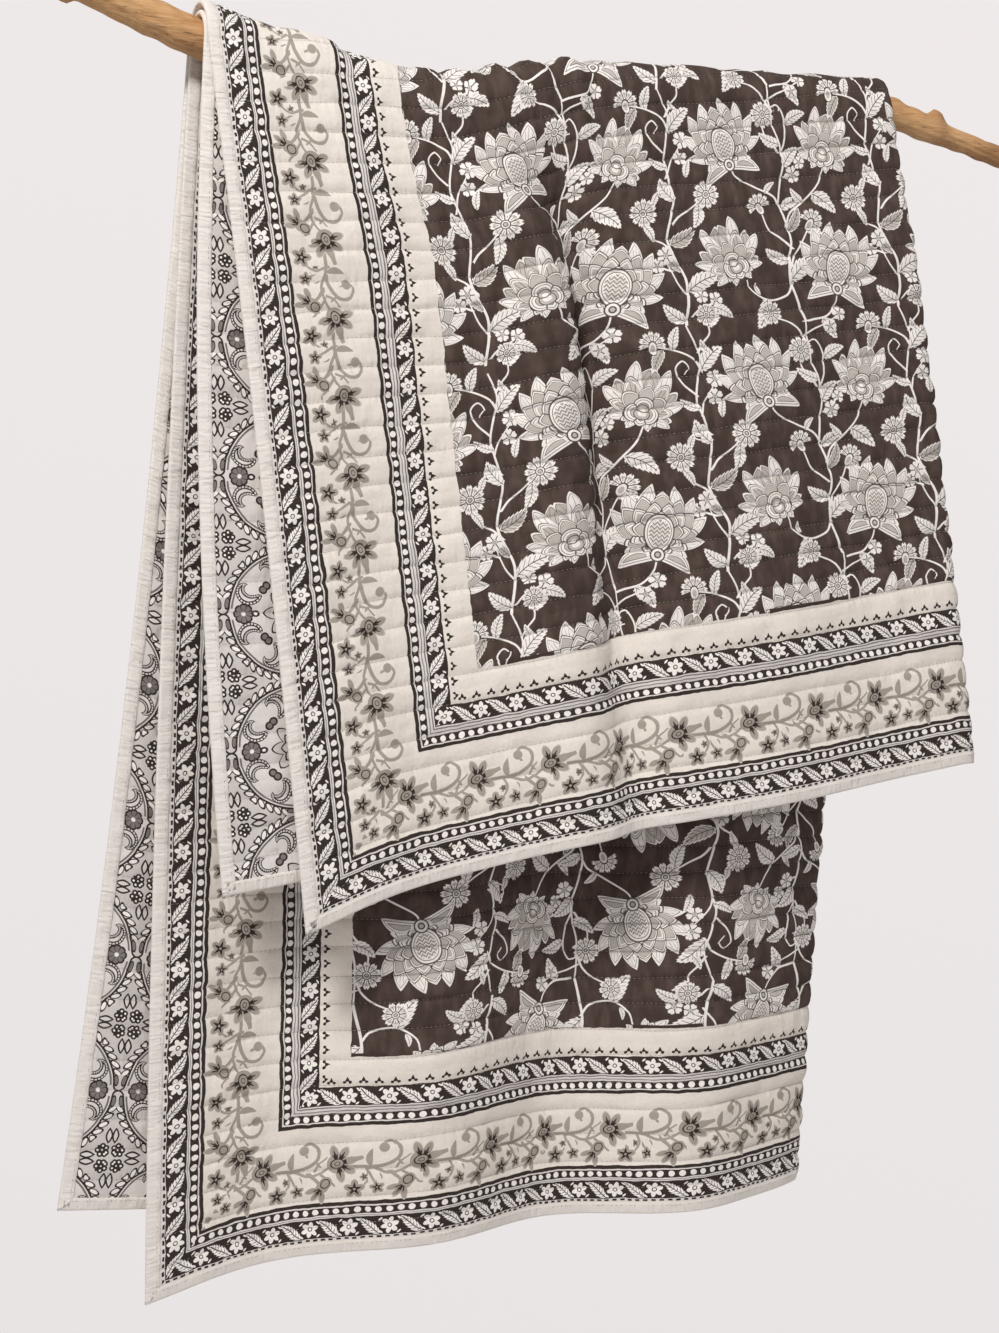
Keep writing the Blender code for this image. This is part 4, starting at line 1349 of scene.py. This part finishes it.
reverse = {
    "medallionPitch": 0.1045,
    "shift": -0.020,  # of the first row's middles from the free edge
    "line": 0.0138,  # half width of a printed line, as a share of half a medallion
    "medallion": 0.92,
    "leaves": 7.6,  # in the chain round a medallion, to the radian
    "paisley": ((0.625, 0.362), 205, 0.155),  # middle of its hook, start in degrees, size
    "paisleyTurn": 250,  # degrees from its head to its tip
}


def drawPaisley(ink, a, b):
    (hookX, hookY), start, size = reverse["paisley"]
    across, along = a - hookX, b - hookY
    rho = length(across, along)
    phi = along.maths("ARCTAN2", across).scaled(1, -math.radians(start))
    place = phi.maths("FLOORED_MODULO", 2 * math.pi) / math.radians(reverse["paisleyTurn"])
    half = place**0.5 * (1 - place | 0.0) * (1.35 * size)
    body = half - abs(rho + (place * 0.85 - 1.25) * size)
    inside = body > 0
    ink.block(inside, "pale")
    ticks = (phi * 4.2).maths("FRACT") < 0.34
    band = (body < 0.040) * (ticks | (body < 0.014))
    ink.block(inside * (band | (abs(body - 0.047) < 0.010)), "ink")


def drawMedallion(ink):
    u, v, _ = ink.flatPlace().split()
    size = reverse["medallionPitch"]
    x, y = abs(u.within(size, -reverse["shift"])) * (2 / size), abs(v.within(size)) * (2 / size)
    a, b = x | y, x & y
    r, turn = length(a, b), bearing(b, a)

    edge = reverse["medallion"]  # the space between four medallions, its points rounded off
    gap = 1 - edge
    wide = b > gap
    depth = (r - edge) * wide + (gap - length(1 - a, b - gap)) * (1 - wide)
    ink.block(depth < 0, "pale")
    slant = (turn * reverse["leaves"] + (r - edge) * 6.5).maths("FRACT") - 0.5
    leaf = 0.92 - length(slant * 2.0, (r - edge - 0.062) * 16)
    chain = (turn > 0.24) * (depth > 0.004)
    ink.block((leaf > 0) * chain, "white")
    ink.block((abs(leaf - 0.09) < 0.17) * chain, "ink")
    ink.shape(0.085 - length(turn - 0.165, (r - edge - 0.034) * 2.6), "grey")
    ink.outline(depth)
    ink.outline(r - edge + 0.045, wide * 0.8)

    cx, cy = 1 - a, 1 - b  # from the middle of that space
    ex, ey = cx - 0.115, cy - 0.115
    ring, part = length(ex, ey), bearing(ex, ey).within(math.pi / 3)
    dot = length(ring * part.maths("COSINE") - 0.066, ring * part.maths("SINE")) & (ring + 0.004)
    ink.block(dot < 0.036, "white")
    ink.outline(dot - 0.030)
    leaf = 0.105 - abs(cy - 0.335)
    ink.shape(leaf * (0.75 - leaf * 3.2) - abs(cx - 0.048), "pale")

    wheel, spin = length(a - 0.70, b), bearing(a - 0.70, b)
    petal = spin.wave(math.pi / 8)
    disc = 0.140 - 0.020 * petal**3 - wheel
    ink.block(disc > 0, "grey")
    ink.block((petal > 0.86) * (disc > 0) * (wheel > 0.045), "ink")
    ink.block(wheel < 0.032, "white")
    ink.outline(disc)
    ink.shape(0.036 - length((a - 0.520) * 0.8, b), "white")
    drawPaisley(ink, a, b)

    ink.shape(0.052 - length(a - 0.405, b - 0.345), "grey")
    sepal = turn.wave(math.pi / 8)
    ink.shape(0.40 - 0.16 * sepal**1.4 - r, "silver")
    ink.outline(0.255 - 0.06 * sepal - r)
    ink.block((sepal > 0.9) * (r > 0.10) * (r < 0.20), "ink")
    ink.block(r < 0.085, "grey")
    ink.outline(0.085 - r)


def reverseMaterial():
    ink = Ink("reversePrint", dyes["silver"])
    drawMedallion(ink)
    return clothFinish(ink)


finishes = {
    "thread": (dye(174, 162, 151), dye(150, 138, 128)),
    "binding": (dye(233, 225, 216), dye(249, 241, 233)),
    "wood": (
        (0.0, dye(122, 78, 44)), (0.3, dye(176, 124, 76)),
        (0.55, dye(208, 160, 108)), (1.0, dye(236, 196, 150)),
    ),
    "stain": dye(138, 92, 54),
    "sawn": dye(196, 160, 118),
    "ring": dye(168, 128, 86),
    "knot": dye(88, 54, 30),
    "floor": (dye(230, 227, 226), dye(233, 230, 229)),
}


def threadMaterial():
    ink = Ink("sewingThread")
    place = ink.objectPlace()
    near, far = finishes["thread"]
    colour = blended(near, ink.noise(place, 60.0), far)
    fibre = ink.relief(ink.noise(place, 3200.0, 1.0), 0.0002)
    return ink.finish({"Base Color": colour, "Normal": fibre, "Roughness": 0.8})


def bindingMaterial():
    ink = Ink("boundCotton")
    uv = ink.flatPlace()
    around, across, _ = uv.split()
    soft, fibre = ink.noise(uv, 30.0), ink.noise(uv, 500.0, 2.0)
    near, far = finishes["binding"]
    colour = blended(near, soft * 0.7 + fibre * 0.3, far)
    drag = ink.noise(uv, 1.0, 2.0, cotton["bindingDrag"])
    threads = weave(around, across, cotton["bindingThread"])
    normal = ink.relief(drag + threads * 0.05 + fibre * 0.15, 0.0019)
    return ink.finish({"Base Color": colour, "Normal": normal, "Roughness": 0.88,
                       "Specular IOR Level": 0.25})


def woodMaterial():
    ink = Ink("peeledWood")
    place = ink.objectPlace()
    fine, grain, streak, speck = (
        ink.noise(place, 1.0, detail, stretch)
        for detail, stretch in (
            (4.0, (13.0, 620.0, 620.0)), (4.0, (7.0, 190.0, 190.0)), (3.0, (3.5, 60.0, 60.0)),
            (2.0, (90.0, 560.0, 560.0)),
        )
    )
    tone = fine * 0.62 + grain * 0.36 + streak * 0.46 - 0.20
    ink.colour = ink.node("ShaderNodeValToRGB", {"stops": ("LINEAR", finishes["wood"])}, {0: tone})
    patch = ink.noise(place, 14.0, 2.0)
    x = place.split()[0]
    washes = [((speck > 0.67) * 0.55, "knot"), ((patch.scaled(3.4, -1.75) | 0.0) & 0.65, "stain")]
    for knotX, *_ in wood["knots"][::3]:
        washes.append((((1 - abs(x - knotX) * 75) | 0.0) * 0.45, "stain"))
    for mask, finish in washes:
        ink.colour = blended(ink.colour, mask, finishes[finish])
    sawn = (x < branchX[0] + wood["sawn"]) | (x > branchX[-1] - wood["sawn"])
    ring = (ink.noise(place, 90.0, 1.0) * 6.0).maths("FRACT")
    colour = blended(ink.colour, sawn, blended(finishes["sawn"], ring * 0.5, finishes["ring"]))
    normal = ink.relief(fine * 0.5 + grain * 0.6 + streak * 0.5 + speck * 0.1, 0.0020)
    rough = grain.scaled(0.35, 0.36) + speck * 0.1
    return ink.finish({"Base Color": colour, "Normal": normal, "Roughness": rough})


def floorMaterial():
    ink = Ink("paleFloor")
    near, far = finishes["floor"]
    colour = blended(near, ink.noise(ink.objectPlace(), 0.8), far)
    return ink.finish({"Base Color": colour, "Roughness": 0.9})


printCloth(printedTop, topCorners)
pieces = (
    (printedTop, fieldMaterial), (printedTop, borderMaterial), (printedBacking, reverseMaterial),
    (boundEdge, bindingMaterial), (peeledBranch, woodMaterial),
)
for piece, makeMaterial in pieces:
    piece.data.materials.append(makeMaterial())
print("materials made")

tree = stitchTree(threadMaterial())
topStitches = sew("topStitches", quiltingPaths(topSurface, len(cloth["rowPlaces"])), tree)
backStitches = sew("backStitches", quiltingPaths(backSurface, len(cloth["backPlaces"])), tree)
edgeStitches = sew("edgeStitches", [edgePath(1), edgePath(-1)], tree)
print("stitches", [len(o.data.polygons) for o in (topStitches, backStitches, edgeStitches)])

studio = {
    "floorDepth": 1.62,
    "floorRadius": 1.9,
    "domeRadius": 9.0,
    "domeLight": (dye(225, 221, 222), dye(240, 235, 234)),  # low on the left, and high
    "ambient": (0.79, 0.78, 0.79, 1),
    "ambientStrength": 0.45,
    "camera": (-0.8564, -1.7923, -0.473),
    "yaw": 23.5,
    "lens": 64.8,
    "lamps": (  # place, size, power, aimed at
        ((-1.8, -2.1, 1.9), 0.8, 92, (0, 0, -0.3)),
        ((2.0, -2.8, 0.6), 2.2, 10, (0, 0, -0.4)),
        ((0.6, 2.6, 1.4), 2.2, 26, (0, 0, -0.4)),
    ),
}


def addSetting(name, material, make):  # a stage object from one bmesh primitive
    form = bmesh.new()
    make(form)
    mesh = bpy.data.meshes.new(name)
    form.to_mesh(mesh)
    form.free()
    obj = addObject(name, mesh)
    obj.data.materials.append(material)
    return obj


def makeFloor(form):
    bmesh.ops.create_circle(form, cap_ends=True, segments=96, radius=studio["floorRadius"])
    bmesh.ops.translate(form, verts=form.verts, vec=(0, 0, -studio["floorDepth"]))


def makeDome(form):
    bmesh.ops.create_uvsphere(form, u_segments=48, v_segments=24, radius=studio["domeRadius"])


def domeMaterial():
    ink = Ink("paleBackdrop")
    x, _, z = ink.objectPlace().split()
    height = z.scaled(0.5 / studio["domeRadius"], 0.56) * 1.2 + x * 0.02
    low, high = studio["domeLight"]
    colour = blended(low, (height | 0.0) & 1.0, high)
    glow = ink.node("ShaderNodeEmission", {}, {"Color": colour})
    ink.connect(ink.tree.nodes["Material Output"], {"Surface": glow})
    return ink.material


def addLight():
    world = bpy.data.worlds.new("studio")
    bpy.context.scene.world = world
    world.use_nodes = True
    light = world.node_tree.nodes["Background"]
    light.inputs["Color"].default_value = studio["ambient"]
    light.inputs["Strength"].default_value = studio["ambientStrength"]
    for index, (place, size, power, target) in enumerate(studio["lamps"]):
        data = bpy.data.lights.new(f"softLamp{index}", "AREA")
        data.shape, data.size, data.energy = "DISK", size, power
        lamp = addObject(data.name, data)
        lamp.location = place
        lamp.rotation_euler = (Vector(target) - Vector(place)).to_track_quat("-Z", "Y").to_euler()


def addCamera():
    camera = addObject("camera", bpy.data.cameras.new("camera"))
    camera.data.lens, camera.data.sensor_width = studio["lens"], 36
    camera.data.clip_start = 0.05
    camera.location = studio["camera"]
    camera.rotation_euler = (math.pi / 2, 0, -math.radians(studio["yaw"]))
    bpy.context.scene.camera = camera


addSetting("paleFloor", floorMaterial(), makeFloor)
dome = addSetting("paleBackdrop", domeMaterial(), makeDome)
dome.visible_diffuse = dome.visible_glossy = dome.visible_shadow = False
addLight()
addCamera()
bpy.context.scene.view_settings.view_transform = "Standard"

for piece in (printedTop, printedBacking, topStitches, backStitches):
    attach(piece, "root")
for piece in (boundEdge, edgeStitches):
    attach(piece, "root")
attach(peeledBranch, "root")
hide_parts("quilt")
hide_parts("quilt")
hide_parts("binding")
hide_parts("branch")
